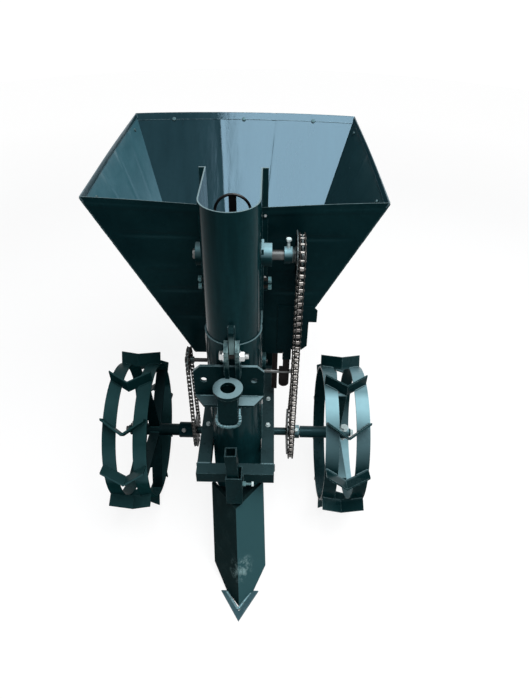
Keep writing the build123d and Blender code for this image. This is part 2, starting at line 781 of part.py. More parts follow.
def clevis_lugs():
    """Two ears on the pipe that reach down in front of the hitch plate to the ring's rear edge."""
    low = tube_high + ring_t
    lugs = Part()
    for side in (-1, 1):
        inner = side * lug_pair_gap / 2
        outer = side * lug_pair_w / 2
        outline = [(plate_front, low), (plate_front - lug_pair_foot, low),
                   (lug_pair_front, lug_pair_high - 2 * lug_pair_corner),
                   (lug_pair_front, lug_pair_high - lug_pair_corner),
                   (lug_pair_front + lug_pair_corner, lug_pair_high), (pipe_y, lug_pair_high),
                   (pipe_y, plate_high), (plate_front, plate_high)]
        lugs += plate_x(outline, min(inner, outer), max(inner, outer))
    lugs -= rod_z(pipe_r, low - 1, lug_pair_high + 1, 0, pipe_y)
    hole_r = clevis_pin_d / 2 + clevis_clear
    return lugs - rod_x(hole_r, -lug_pair_w, lug_pair_w, clevis_pin_y, clevis_pin_z)


def tongue_plate():
    """Upright tongue between the ears, welded to the channel."""
    front = pipe_y - pipe_r - tongue_reach
    rim = pipe_top + 2 * rim_gap
    outline = [(pipe_y, rim), (pipe_y, tongue_high), (front + tongue_corner, tongue_high),
               (front, tongue_high - tongue_corner), (front, tongue_low), (front + tongue_toe, tongue_low),
               (pipe_y - pipe_r, rim)]
    tongue = plate_x(outline, -tongue_t / 2, tongue_t / 2)
    tongue -= rod_z(channel_r, pipe_top, tongue_high + 1, 0, pipe_y)
    return tongue - rod_z(pipe_r, tongue_low - 1, pipe_top, 0, pipe_y)


def clevis_bolt():
    """Cross bolt through the ears with a washer and nut at each side."""
    half = lug_pair_w / 2
    bolt = rod_x(clevis_pin_d / 2, -half - clevis_head_past, half + clevis_thread_past,
                 clevis_pin_y, clevis_pin_z)
    for side in (-1, 1):
        near = side * half
        far = side * (half + clevis_nut_t)
        bolt += rod_x(clevis_nut_d / 2, min(near, far), max(near, far), clevis_pin_y, clevis_pin_z)
    return bolt


# ---- opener ----
def opener_sleeve():
    return square_tube_z(0, sleeve_y, sleeve_low, sleeve_high, sleeve_size, sleeve_wall)


def leaned(shape):
    """Shape turned with the cocked stem about the middle of the sleeve."""
    pivot_z = (sleeve_low + sleeve_high) / 2
    return Pos(0, 0, pivot_z) * Rot(0, -opener_lean, 0) * Pos(0, 0, -pivot_z) * shape


def raked(points, low, high):
    """Prism with a level (x, y) section that runs along the ridge of the opener."""
    rake = (blade_top_y - blade_foot_y) / blade_top
    start = Plane.XY.offset(low) * Pos(0, blade_foot_y + rake * low, 0)
    outline = make_face(Polyline(*points, close=True))
    rise = high - low
    return extrude(start * outline, amount=rise * hypot(1, rake), dir=(0, rake, 1))


def blade_section():
    """Half-widths and offsets of the V: outer edge, inner edge and the inner corner."""
    size = hypot(blade_half, blade_depth)
    nx, ny = -blade_depth / size, blade_half / size
    inner = blade_t * size / blade_half
    return (blade_half, blade_depth), (blade_half + blade_t * nx, blade_depth + blade_t * ny), inner


def opener_blades():
    """Two plates that meet in a raked ridge, open at the back and seated on the share."""
    (ox, oy), (ix, iy), corner = blade_section()
    points = [(0, 0), (ox, oy), (ix, iy), (0, corner), (-ix, iy), (-ox, oy)]
    blades = leaned(raked(points, -blade_trim, blade_top))
    slope = (heel_z - share_t) / (heel_y - share_rear_y)
    near = blade_foot_y - blade_trim
    low = -2 * blade_trim
    cut = [(near, low), (0, low), (0, share_t - slope * share_rear_y), (share_rear_y, share_t),
           (near, share_t)]
    return blades - plate_x(cut, -2 * blade_half, 2 * blade_half)


def opener_stem():
    """Square tube that hangs in the sleeve and is mitred to the inside of the V."""
    stem = square_tube_z(0, sleeve_y, stem_low, stem_top, stem_size, stem_wall)
    (ox, oy), (ix, iy), corner = blade_section()
    lead = (iy - corner) / ix
    reach = 2 * blade_half
    front = [(0, corner), (reach, corner + lead * reach), (reach, -reach), (-reach, -reach),
             (-reach, corner + lead * reach)]
    return leaned(stem - raked(front, -blade_trim, blade_top))


def opener_share():
    """Flat arrow-shaped share under the blades, level on the ground."""
    shift = (sleeve_low + sleeve_high) / 2 * sin(radians(opener_lean))
    inner = share_half - share_band
    slope = (share_rear_y - share_tip_y) / share_half
    points = [(shift, share_tip_y), (shift + share_half, share_rear_y), (shift + inner, share_rear_y),
              (shift, share_rear_y - slope * inner), (shift - inner, share_rear_y),
              (shift - share_half, share_rear_y)]
    return plate_z(points, 0, share_t)


# ---- chain tensioner and guard ----
def tension_rod():
    return rod_x(tension_rod_d / 2, pipe_r, drive_x + 7, tension_y, tension_z)


def tension_idler():
    return ring_x(idler_d / 2, tension_rod_d / 2 + run_clear, drive_x - idler_w / 2,
                  drive_x + idler_w / 2, tension_y, tension_z)


def tension_finger():
    """Flat finger with a rounded end, from the guard plate's tab down past the rod."""
    x1 = finger_x + finger_w
    y0, y1 = hopper_y, hopper_y + finger_t
    end = finger_low + finger_w / 2
    finger = block(finger_x, x1, y0, y1, end, tension_z + tension_rod_d)
    finger += rod_y(finger_w / 2, y0, y1, finger_x + finger_w / 2, end)
    finger += block(x1 - finger_neck, x1, y0, y1, tension_z, finger_high)
    return finger - rod_x(tension_rod_d / 2 + run_clear, finger_x - 1, x1 + 1, tension_y, tension_z)


def tension_hanger():
    """Flat hanger from the hopper's floor down past the rod."""
    front = hopper_y + hanger_in
    hanger = block(hanger_x, hanger_x + hanger_t, front, front + hanger_w, hanger_low, hopper_bottom)
    return hanger - rod_x(tension_rod_d / 2 + run_clear, hanger_x - 1, hanger_x + hanger_t + 1,
                          tension_y, tension_z)


def guard_plate():
    """Plate that continues the hopper's front behind the drive chain."""
    tab_end = guard_tab_x + guard_tab_w
    outline = [(guard_in, guard_low), (guard_tab_x, guard_low), (guard_tab_x, guard_tab_low),
               (tab_end, guard_tab_low), (tab_end, guard_low), (guard_mid - guard_corner, guard_low),
               (guard_mid, guard_low + guard_corner), (guard_mid, guard_step), (guard_out, guard_step),
               (guard_out, guard_high - guard_corner), (guard_out - guard_corner, guard_high),
               (guard_in, guard_high)]
    return plate_y(outline, hopper_y - guard_t, hopper_y)


front_panel, rear_panel, left_panel, right_panel = hopper_panels()
axle_at = Pos(0, 0, axle_z)
drive_wheels = [
    # y, z, radius, turn
    (shaft_y, upper_z, pitch_radius(upper_teeth, drive_pitch), 1),
    (0.0, axle_z, pitch_radius(axle_teeth, drive_pitch), 1),
    (tension_y, tension_z, idler_d / 2 + link_h / 2 + seat_gap, -1),
]
small_wheels = [
    (shaft_y, lower_z, pitch_radius(agitator_teeth, small_pitch), 1),
    (0.0, axle_z, pitch_radius(small_axle_teeth, small_pitch), 1),
]
cup_wheels = [(shaft_y, upper_z, cup_chain_r, 1), (shaft_y, lower_z, cup_chain_r, 1)]

nodes = {
    "front_crossbar": cross_tube(crossbar_y),
    "side_rails": side_rails(),
    "rear_crossbar": cross_tube(frame_rear - rail_size),
    "hopper_stays": hopper_stays(),
    "hopper_front": front_panel,
    "hopper_rear": rear_panel,
    "hopper_left": left_panel,
    "hopper_right": right_panel,
    "hopper_floor": hopper_floor(),
    "guard_plate": guard_plate(),
    "seed_pipe": seed_pipe(),
    "elevator_channel": elevator_channel(),
    "side_plate_left": side_plate(-1),
    "side_plate_right": side_plate(1),
    "boot": boot(),
    "axle_bearing_left": axle_bearing(-1),
    "axle_bearing_right": axle_bearing(1),
    "upper_bearing_left": upper_bearing(-1),
    "upper_bearing_right": upper_bearing(1),
    "lower_bearing_left": lower_bearing(-1),
    "lower_bearing_right": lower_bearing(1),
    "hitch_plate": hitch_plate(),
    "hitch_tube": hitch_tube(),
    "clevis_lugs": clevis_lugs(),
    "tongue_plate": tongue_plate(),
    "clevis_bolt": clevis_bolt(),
    "opener_sleeve": opener_sleeve(),
    "tension_rod": tension_rod(),
    "tension_idler": tension_idler(),
    "tension_finger": tension_finger(),
    "tension_hanger": tension_hanger(),
    "drive_chain": chain(drive_x, drive_wheels, drive_pitch),
    "left_chain": chain(small_x, small_wheels, small_pitch),
    "cup_chain": chain(0, cup_wheels, drive_pitch),
    "seed_cups": seed_cups(),
    "axle": axle(),
    "wheel_rim_left": Pos(-wheel_x, 0, axle_z) * wheel_rim(),
    "wheel_rim_right": Pos(wheel_x, 0, axle_z) * wheel_rim(),
    "wheel_hub_left": axle_at * wheel_hub(-1),
    "wheel_hub_right": axle_at * wheel_hub(1),
    "axle_sprockets": drive_sprockets(0, axle_z, axle_teeth, spare_axle_teeth, axle_step),
    "axle_sprocket_left": small_sprocket(),
    "upper_shaft": upper_shaft(),
    "upper_sprockets": drive_sprockets(shaft_y, upper_z, upper_teeth, spare_upper_teeth, upper_step),
    "cup_sprocket": cup_sprocket(),
    "agitator_shaft": agitator_shaft(),
    "agitator_sprocket": agitator_sprocket(),
    "opener_stem": opener_stem(),
    "opener_blades": opener_blades(),
    "opener_share": opener_share(),
}

for name, shape in nodes.items():
    export_step(shape, f"parts/{name}.step")
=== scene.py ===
# Seed drill: the finish of every surface, and the chains, sprockets, cups, sheets, bolts and welds.
import random
from functools import partial
from math import asin, atan2, cos, degrees, dist, exp, hypot, pi, radians, sin, sqrt
import bmesh
import bpy
from mathutils import Matrix, Vector


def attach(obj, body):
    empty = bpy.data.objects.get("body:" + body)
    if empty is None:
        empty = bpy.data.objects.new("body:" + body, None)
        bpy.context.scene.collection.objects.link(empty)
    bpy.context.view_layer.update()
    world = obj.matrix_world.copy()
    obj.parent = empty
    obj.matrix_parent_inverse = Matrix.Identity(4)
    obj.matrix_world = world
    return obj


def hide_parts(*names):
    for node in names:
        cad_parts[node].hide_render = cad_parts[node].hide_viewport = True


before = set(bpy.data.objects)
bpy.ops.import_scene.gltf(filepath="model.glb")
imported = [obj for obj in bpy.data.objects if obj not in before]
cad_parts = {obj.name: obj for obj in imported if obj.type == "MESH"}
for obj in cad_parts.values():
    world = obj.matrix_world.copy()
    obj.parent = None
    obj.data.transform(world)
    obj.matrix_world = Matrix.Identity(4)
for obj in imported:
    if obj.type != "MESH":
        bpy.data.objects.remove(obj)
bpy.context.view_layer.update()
rng = random.Random(7)
MM = 0.001

# ---- sizes shared by several pieces, in millimetres ----
AXLE_Z = 200.164
SHAFT_Y = -6.0              # both cross shafts
UPPER_Z = 725.0
LOWER_Z = 447.877
DRIVE_X = 131.0             # right chain
SMALL_X = -110.0            # left chain
DRIVE_PITCH = 15.875
SMALL_PITCH = 12.7
CHANNEL_R = 53.8
HOPPER_FRONT = 48.0
HOPPER_BOTTOM = 425.0
HOPPER_TOP = 817.0
SHEET = 1.0                 # thickness of the hopper's panels
RAIL_MID = 72.4
RAIL_TOP = 272.0
WHEEL_X = 255.0


# ---- materials ----
def node(tree, kind, inputs=None, **settings):
    """Node with its settings; each input is a socket that it is linked to, or a value."""
    made = tree.nodes.new(kind)
    for key, value in settings.items():
        setattr(made, key, value)
    for key, value in (inputs or {}).items():
        if isinstance(value, bpy.types.NodeSocket):
            tree.links.new(value, made.inputs[key])
        else:
            made.inputs[key].default_value = value
    return made


def noise(tree, coords, scale, detail, rough, stretch=None):
    """Noise texture in object space; stretch scales the axes."""
    if stretch:
        coords = node(tree, "ShaderNodeMapping", {"Vector": coords, "Scale": stretch}).outputs["Vector"]
    inputs = {"Vector": coords, "Scale": scale, "Detail": detail, "Roughness": rough}
    return node(tree, "ShaderNodeTexNoise", inputs).outputs["Fac"]


def ramp(tree, fac, stops):
    """Colour ramp from (position, grey or colour) stops."""
    made = node(tree, "ShaderNodeValToRGB", {"Fac": fac})
    elements = made.color_ramp.elements
    while len(elements) < len(stops):
        elements.new(0.5)
    for element, (place, colour) in zip(elements, stops):
        element.position = place
        if isinstance(colour, (int, float)):
            colour = (colour, colour, colour)
        element.color = (*colour, 1.0)
    return made.outputs["Color"]


def mix(tree, fac, a, b):
    """Mix two colours; a and b are sockets or colours."""
    a, b = [(*colour, 1.0) if isinstance(colour, tuple) else colour for colour in (a, b)]
    return node(tree, "ShaderNodeMix", {0: fac, 6: a, 7: b}, data_type="RGBA").outputs[2]


def calc(tree, operation, a, b):
    """Arithmetic on two sockets or numbers, kept between 0 and 1."""
    return node(tree, "ShaderNodeMath", {0: a, 1: b}, operation=operation, use_clamp=True).outputs[0]


def times(tree, a, b):
    return calc(tree, "MULTIPLY", a, b)


def normal(tree):
    return node(tree, "ShaderNodeNewGeometry").outputs["Normal"]


def rounded(tree, radius):
    """Normal of the surface with its edges rounded, for a radius in metres."""
    return node(tree, "ShaderNodeBevel", {"Radius": radius}, samples=4).outputs["Normal"]


def edge_mask(tree, radius):
    """White along edges of the surface within radius metres."""
    sides = {0: rounded(tree, radius), 1: normal(tree)}
    dot = node(tree, "ShaderNodeVectorMath", sides, operation="DOT_PRODUCT")
    return ramp(tree, dot.outputs["Value"], [(0.80, 1.0), (0.985, 0.0)])


def part_of(tree, vector, axis):
    return node(tree, "ShaderNodeSeparateXYZ", {0: vector}).outputs[axis]


def facing(tree, axis):
    """One component of the surface's normal."""
    return part_of(tree, normal(tree), axis)


def up_mask(tree, low, high, start=0.0, end=1.0):
    """Rises from start to end as the surface turns up, between two heights of its normal."""
    return ramp(tree, facing(tree, "Z"), [(low, start), (high, end)])


def remap(tree, value, low, high, start, end):
    """Goes from start to end as a value goes from low to high."""
    inputs = {"Value": value, "From Min": low, "From Max": high, "To Min": start, "To Max": end}
    return node(tree, "ShaderNodeMapRange", inputs).outputs[0]


def span(tree, coords, axis, low, high, start=0.0, end=1.0):
    """Goes from start to end between two places along an object axis."""
    return remap(tree, part_of(tree, coords, axis), low, high, start, end)


def distance(tree, coords, centre, keep=(1.0, 1.0, 1.0)):
    """Distance from a point, or from a line where keep drops an axis."""
    away = node(tree, "ShaderNodeVectorMath", {0: coords, 1: centre}, operation="SUBTRACT").outputs[0]
    flat = node(tree, "ShaderNodeVectorMath", {0: away, 1: keep}, operation="MULTIPLY").outputs[0]
    return node(tree, "ShaderNodeVectorMath", {0: flat}, operation="LENGTH").outputs["Value"]


def film_cover(tree, coords, mottle, stops, along_x, hoops):
    """Where the painted top light lies: on faces that look up, between two places along X, or on a wheel's
    hoops.
    """
    cover = times(tree, ramp(tree, facing(tree, "Z"), stops), ramp(tree, mottle, [(0.30, 0.72), (0.70, 1.0)]))
    if along_x:
        cover = times(tree, cover, span(tree, coords, "X", *along_x))
    if hoops:
        # on hoops, not lugs: painted light strongest high up and at the front, and on the outer hoop's rear
        from_axle = distance(tree, coords, (0.0, 0.0, AXLE_Z * MM), (0.0, 1.0, 1.0))
        cover = times(tree, cover, ramp(tree, from_axle, [(0.1722, 1.0), (0.1745, 0.02)]))
        upper = times(tree, span(tree, coords, "Z", 0.19, 0.30, 0.1),
                      span(tree, coords, "Y", -0.04, -0.01, 1.0, 0.22))
        rear = times(tree, span(tree, coords, "Y", -0.06, -0.02), span(tree, coords, "X", 0.24, 0.26))
        rear = times(tree, rear, span(tree, coords, "Z", 0.24, 0.30, 1.0, 0.5))
        cover = times(tree, cover, calc(tree, "MAXIMUM", upper, rear))
    return cover


def relief(tree, coords, round_edge, peel, stretch):
    """Normal with rounded edges, a slow wave and a fine orange peel."""
    wave = {"Strength": min(1.0, peel * 3), "Distance": 0.003, "Normal": rounded(tree, round_edge * MM),
            "Height": noise(tree, coords, 22.0, 2.0, 0.5, stretch)}
    grain = {"Strength": peel, "Distance": 0.002, "Height": noise(tree, coords, 420.0, 2.0, 0.5),
             "Normal": node(tree, "ShaderNodeBump", wave).outputs["Normal"]}
    return node(tree, "ShaderNodeBump", grain).outputs["Normal"]


def finish_material(name, dark, light, edge, metallic=0.0, rough=(0.25, 0.45), wear=0.5, film=0.0,
                    film_colour=(0.24, 0.37, 0.40), film_from=0.25, film_stops=None, film_x=None,
                    film_hoops=False, round_edge=0.8, peel=0.02, tint=None, level=0.5, top_level=None,
                    stretch=None, scuff=0.0, side_light=None, front_light=None, spot=None, matt_below=None):
    """Painted or metal surface: mottled from dark to light, worn to edge, with uneven gloss and fine bump.

    The top light arguments give how much pale colour is painted on what looks up, as painted light of the
    overhead lamp and sky, and where; level and top_level are how strong the gloss is in general and on what
    looks up, and scuff is how far the whole surface is rubbed. The side and front light arguments are colours
    painted on faces to the right and ahead, as painted light falling there. spot is (x, y, z, radius, start)
    of a rubbed place, and matt_below is the height under which the gloss ends.
    """
    material = bpy.data.materials.new(name)
    material.use_nodes = True
    tree = material.node_tree
    shader = tree.nodes["Principled BSDF"]
    coords = node(tree, "ShaderNodeTexCoord").outputs["Object"]
    wide = noise(tree, coords, 7.0, 4.0, 0.6, stretch)
    fine = noise(tree, coords, 90.0, 3.0, 0.6)
    colour = ramp(tree, wide, [(0.32, dark), (0.68, light)])
    colour = mix(tree, ramp(tree, fine, [(0.45, 0.0), (0.8, 0.35)]), colour, dark)
    if scuff:
        rub = times(tree, ramp(tree, noise(tree, coords, 34.0, 6.0, 0.75), [(0.50, 0.0), (0.68, scuff)]),
                    ramp(tree, noise(tree, coords, 260.0, 3.0, 0.6), [(0.35, 0.3), (0.65, 1.0)]))
        colour = mix(tree, rub, colour, edge)
    # painted light: faces that look to the right are made lighter, as if lit from that side
    if side_light:
        colour = mix(tree, ramp(tree, facing(tree, "X"), [(0.10, 0.0), (0.45, 1.0)]), colour, side_light)
    # painted sheen: faces that look ahead are made lighter, as if lit from the front
    if front_light:
        start, front_colour = front_light
        forward = ramp(tree, times(tree, facing(tree, "Y"), -1.0), [(start, 0.0), (0.97, 0.8), (1.0, 0.8)])
        forward = times(tree, forward, up_mask(tree, -0.05, 0.08))
        colour = mix(tree, forward, colour, front_colour)
    # painted light: a pale colour on what looks up, standing for the overhead lamp and sky
    if film:
        stops = film_stops or [(film_from, 0.0), (1.0, film)]
        colour = mix(tree, film_cover(tree, coords, wide, stops, film_x, film_hoops), colour, film_colour)
    if spot:
        x, y, z, radius, start = spot
        near = ramp(tree, distance(tree, coords, (x, y, z)), [(radius * 0.35, 1.0), (radius, 0.0)])
        rub = ramp(tree, noise(tree, coords, 75.0, 6.0, 0.7), [(start, 0.0), (start + 0.19, 0.75)])
        colour = mix(tree, times(tree, near, rub), colour, (0.26, 0.40, 0.40))
    if wear:
        chips = ramp(tree, noise(tree, coords, 160.0, 4.0, 0.7), [(0.40, 0.15), (0.60, 1.0)])
        mask = times(tree, edge_mask(tree, 0.0016), chips)
        colour = mix(tree, times(tree, mask, wear), colour, edge)
    tree.links.new(colour, shader.inputs["Base Color"])
    gloss = ramp(tree, noise(tree, coords, 26.0, 3.0, 0.6, stretch), [(0.3, rough[0]), (0.7, rough[1])])
    tree.links.new(gloss, shader.inputs["Roughness"])
    tree.links.new(relief(tree, coords, round_edge, peel, stretch), shader.inputs["Normal"])
    shader.inputs["Metallic"].default_value = metallic
    shader.inputs["Specular IOR Level"].default_value = level
    if top_level:
        gleam = up_mask(tree, 0.05, 0.75, level, top_level)
        if matt_below:
            gleam = times(tree, gleam, span(tree, coords, "Z", *matt_below))
        tree.links.new(gleam, shader.inputs["Specular IOR Level"])
    if tint:
        shader.inputs["Specular Tint"].default_value = (*tint, 1.0)
    return material


TEAL_TINT = (0.40, 0.84, 0.95)
DARK = (0.0008, 0.0108, 0.0124)
MID = (0.0022, 0.0190, 0.0212)
enamel = partial(finish_material, tint=TEAL_TINT, level=0.03, rough=(0.20, 0.36))
metal = partial(finish_material, round_edge=0.4, peel=0.03)
lining = partial(finish_material, edge=(0.35, 0.50, 0.55), wear=0.6, round_edge=0.4, stretch=(2.2, 0.5, 0.35))
# most finishes below paint a pale top light on what looks up, as painted light of the overhead lamp and sky
paint = enamel(
    "green_enamel", DARK, MID, (0.16, 0.31, 0.33), film=0.45, top_level=0.6)
# hitch: the painted top light fades to a quarter towards the left, as painted shade on that part of the ledge
paint_hitch = enamel(
    "green_enamel_hitch", DARK, MID, (0.24, 0.37, 0.39), wear=0.7, film=0.85,
    top_level=0.6, film_x=(-0.040, -0.022, 0.25))
# pipe and channel: lighter than the plain enamel, as painted reflection on the glossy paint, with mottle and
# gloss streaked upright
paint_pipe = enamel(
    "green_enamel_pipe", (0.0015, 0.0145, 0.0170), (0.0060, 0.0360, 0.0410), (0.22, 0.36, 0.38),
    rough=(0.10, 0.24), wear=0.6, film=0.5, level=0.06, top_level=0.6, stretch=(3.0, 3.0, 0.35),
    matt_below=(0.285, 0.33))
paint_frame = enamel(
    "green_enamel_frame", DARK, (0.0030, 0.0230, 0.0255), (0.20, 0.33, 0.35), rough=(0.22, 0.40), wear=0.55,
    film=0.10, top_level=0.3)
# lit and shaded copies of the wheels' enamel: the right has strong painted top light on its hoops, the left
# little of it, as painted shade, and a painted sheen on faces that look ahead
paint_right_lit = enamel(
    "green_enamel_right", (0.0012, 0.0130, 0.0145), (0.0035, 0.0250, 0.0280), (0.26, 0.42, 0.44),
    rough=(0.22, 0.42), wear=0.8, film=1.0,
    film_stops=[(0.30, 0.0), (0.48, 0.12), (0.77, 0.26), (0.92, 0.85), (1.0, 1.0)],
    film_colour=(0.36, 0.61, 0.68), film_hoops=True, level=0.02, top_level=0.25)
paint_left_shaded = enamel(
    "green_enamel_left", (0.0026, 0.0225, 0.0240), (0.0075, 0.0400, 0.0420), (0.12, 0.22, 0.23),
    rough=(0.22, 0.42), wear=0.25, film=0.05, film_from=0.0, level=0.0, top_level=0.02,
    front_light=(0.80, (0.034, 0.092, 0.100)))
# darkest copy of the enamel, as painted shade: on the left hub and on the web inside the opener's V
paint_shaded = enamel(
    "green_enamel_dark", (0.0006, 0.0050, 0.0058), (0.0010, 0.0105, 0.0120), (0.10, 0.20, 0.22),
    rough=(0.22, 0.42), wear=0.1, film=0.03, level=0.0, top_level=0.08)
paint_flat = enamel(
    "green_enamel_flat", (0.0010, 0.0105, 0.0130), (0.0034, 0.0205, 0.0240), (0.04, 0.09, 0.10),
    rough=(0.2, 0.34), wear=0.12)
# blades: real scuffs and a rubbed spot, and painted light on faces that look to the right
paint_worn_side_lit = enamel(
    "green_enamel_worn", (0.0015, 0.0105, 0.0112), (0.0042, 0.0170, 0.0180), (0.14, 0.22, 0.22),
    rough=(0.28, 0.50), wear=0.35, film=0.02, level=0.0, top_level=0.03, scuff=0.06,
    side_light=(0.030, 0.085, 0.094), spot=(0.020, -0.307, 0.072, 0.036, 0.46))
# share: lighter than the plain enamel, as painted sky light on it, with real scuffs and worn edges
paint_share = enamel(
    "green_enamel_share", (0.011, 0.038, 0.048), (0.029, 0.068, 0.083), (0.28, 0.40, 0.42),
    rough=(0.25, 0.45), wear=0.9, film=0.10, level=0.2, top_level=0.4, scuff=0.2)
paint_sheet = enamel(
    "green_enamel_sheet", (0.0014, 0.0122, 0.0148), (0.0046, 0.0245, 0.0280), (0.24, 0.38, 0.39),
    rough=(0.16, 0.30), film=0.4, top_level=0.6, round_edge=0.4)
paint_inside = lining(
    "green_enamel_inside", (0.004, 0.022, 0.027), (0.010, 0.036, 0.044), rough=(0.07, 0.12),
    tint=(0.42, 0.66, 0.84), level=1.0)
# lit and shaded copies of the lining: the left side is painted much lighter than the right, as painted light
# falling on it
paint_inner_left_lit = lining(
    "green_enamel_pale_side", (0.030, 0.096, 0.120), (0.062, 0.160, 0.195), rough=(0.14, 0.26),
    tint=(0.50, 0.82, 1.0), level=0.5)
paint_inner_right = lining(
    "green_enamel_side", (0.006, 0.026, 0.031), (0.013, 0.046, 0.053), rough=(0.16, 0.28),
    tint=(0.50, 0.82, 1.0), level=0.4)
steel_dull = metal(
    "dull_steel", (0.06, 0.065, 0.065), (0.20, 0.21, 0.21), (0.5, 0.52, 0.52), metallic=0.8,
    rough=(0.3, 0.5), wear=0.4)
# pale copy of the weld finish with strong painted top light: painted highlights on the beads that use it
weld_pale = enamel(
    "weld_pale", (0.010, 0.050, 0.055), (0.075, 0.150, 0.160), (0.45, 0.55, 0.56), rough=(0.2, 0.4),
    wear=0.8, film=0.9, level=0.3, top_level=1.0, round_edge=0.3, peel=0.10)
steel = metal(
    "zinc_steel", (0.40, 0.42, 0.42), (0.66, 0.68, 0.68), (0.88, 0.90, 0.90), metallic=0.9,
    rough=(0.22, 0.42))
bolt_pale = metal(
    "bolt_pale", (0.50, 0.64, 0.64), (0.80, 0.92, 0.92), (0.92, 0.96, 0.96), rough=(0.2, 0.35), wear=0.4)
bolt_teal = enamel(
    "bolt_teal", (0.05, 0.12, 0.13), (0.14, 0.27, 0.28), (0.6, 0.72, 0.72), rough=(0.2, 0.4), wear=0.6,
    round_edge=0.4, peel=0.04, level=0.5)
chain_steel = metal(
    "chain_steel", (0.006, 0.006, 0.005), (0.028, 0.026, 0.024), (0.22, 0.22, 0.21), metallic=0.3,
    rough=(0.35, 0.6), wear=0.35, round_edge=0.3, level=0.15)
chain_bright = metal(
    "chain_rollers", (0.11, 0.10, 0.095), (0.40, 0.385, 0.36), (0.70, 0.70, 0.68), metallic=0.9,
    rough=(0.16, 0.28), wear=0.3, round_edge=0.3)
chain_dull = metal(
    "chain_rollers_dull", (0.015, 0.014, 0.013), (0.08, 0.08, 0.075), (0.4, 0.4, 0.4), metallic=0.8,
    rough=(0.25, 0.45), wear=0.3, round_edge=0.3)
# hubs and the right upper bearing: strong pale painted top light, for their bright tops
paint_hub = enamel(
    "green_enamel_hub", (0.002, 0.016, 0.019), (0.008, 0.034, 0.038), (0.24, 0.38, 0.40),
    film=1.0, film_colour=(0.32, 0.53, 0.59), level=0.05, top_level=0.6, round_edge=0.4)
paint_clevis = enamel(
    "green_enamel_clevis", DARK, MID, (0.30, 0.48, 0.50), wear=0.85, film=0.3,
    top_level=0.3, spot=(0.0, -0.158, 0.598, 0.042, 0.36))
paint_tongue = enamel(
    "green_enamel_tongue", DARK, MID, (0.04, 0.09, 0.10), wear=0.3, film=0.03,
    top_level=0.1, spot=(0.0, -0.153, 0.608, 0.030, 0.15))
sprocket_steel = metal(
    "sprocket_steel", (0.006, 0.012, 0.013), (0.022, 0.034, 0.035), (0.42, 0.44, 0.43), metallic=0.4,
    rough=(0.3, 0.5), wear=0.9, film=0.15, round_edge=0.5, level=0.2)
black = metal(
    "black_coat", (0.003, 0.003, 0.004), (0.010, 0.010, 0.011), (0.10, 0.10, 0.10), rough=(0.3, 0.5),
    wear=0.4, round_edge=0.6, level=0.15, top_level=0.5)
brown = finish_material(
    "brown_coat", (0.004, 0.003, 0.003), (0.014, 0.010, 0.009), (0.12, 0.10, 0.09), rough=(0.3, 0.55),
    peel=0.05, level=0.12)
weld = enamel(
    "weld_bead", (0.0040, 0.0190, 0.0215), (0.0160, 0.0480, 0.0520), (0.30, 0.40, 0.41), rough=(0.22, 0.42),
    wear=0.45, film=0.6, level=0.1, top_level=0.4, round_edge=0.3, peel=0.10)


# ---- mesh tools ----
def add_object(name, data):
    made = bpy.data.objects.new(name, data)
    bpy.context.scene.collection.objects.link(made)
    return made


def smooth_mesh(name, bm, finishes):
    """Mesh made of a bmesh, which ends here, with smooth faces and one material for each slot."""
    mesh = bpy.data.meshes.new(name)
    bm.to_mesh(mesh)
    bm.free()
    for finish in finishes:
        mesh.materials.append(finish)
    mesh.polygons.foreach_set("use_smooth", [True] * len(mesh.polygons))
    return mesh


def add_piece(name, body, finishes, bm, smooth, hides=()):
    """Object from a bmesh in millimetres, riding on a body and standing for the CAD nodes that it hides.

    Faces that meet at an angle below smooth, in degrees, are shaded smooth.
    """
    bmesh.ops.scale(bm, vec=(MM, MM, MM), verts=bm.verts)
    bmesh.ops.recalc_face_normals(bm, faces=bm.faces)
    mesh = smooth_mesh(name, bm, finishes)
    mesh.set_sharp_from_angle(angle=radians(smooth))
    piece = add_object(name, mesh)
    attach(piece, body)
    if hides:
        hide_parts(*hides)


def turned(axis):
    """Rotation that takes +Z to the axis."""
    return Vector(axis).normalized().to_track_quat("Z", "Y").to_matrix().to_4x4()


def circle(radius, count, phase=0.0):
    """Points (x, y) round a circle."""
    angles = [2 * pi * n / count + phase for n in range(count)]
    return [(radius * cos(a), radius * sin(a)) for a in angles]


def around(count):
    """Pairs of neighbours round a loop."""
    return [(n, (n + 1) % count) for n in range(count)]


def lathe(bm, centre, axis, profile, sides, phase=0.0, slot=0):
    """Turned or many-sided piece: profile is a chain of (radius, height) along the axis."""
    place = Matrix.Translation(Vector(centre)) @ turned(axis)
    rings = []
    for radius, height in profile:
        points = circle(radius, sides if radius > 0 else 1, phase)
        rings.append([bm.verts.new(place @ Vector((x, y, height))) for x, y in points])
    for low, high in zip(rings, rings[1:]):
        for n, m in around(sides):
            if len(low) == 1:
                corners = (low[0], high[n], high[m])
            elif len(high) == 1:
                corners = (low[n], low[m], high[0])
            else:
                corners = (low[n], low[m], high[m], high[n])
            bm.faces.new(corners).material_index = slot


def hex_head(bm, centre, axis, across, height, washer=0.0, washer_t=0.0, slot=0):
    """Hexagon head or nut with a chamfered top, on a round washer where one is given."""
    corner_r = across / sqrt(3)
    phase = rng.uniform(0, pi / 3)
    low = 0.0
    if washer:
        r = washer / 2
        lathe(bm, centre, axis, [(0, 0), (r, 0), (r, washer_t - 0.3), (r - 0.4, washer_t), (0, washer_t)], 24,
              slot=slot)
        low = washer_t
    high = low + height
    edge = high - 1.2
    lathe(bm, centre, axis, [(0, low), (corner_r, low), (corner_r, edge)], 6, phase, slot)
    lathe(bm, centre, axis, [(corner_r, edge), (across / 2 * 0.97, high), (0, high)], 6, phase, slot)


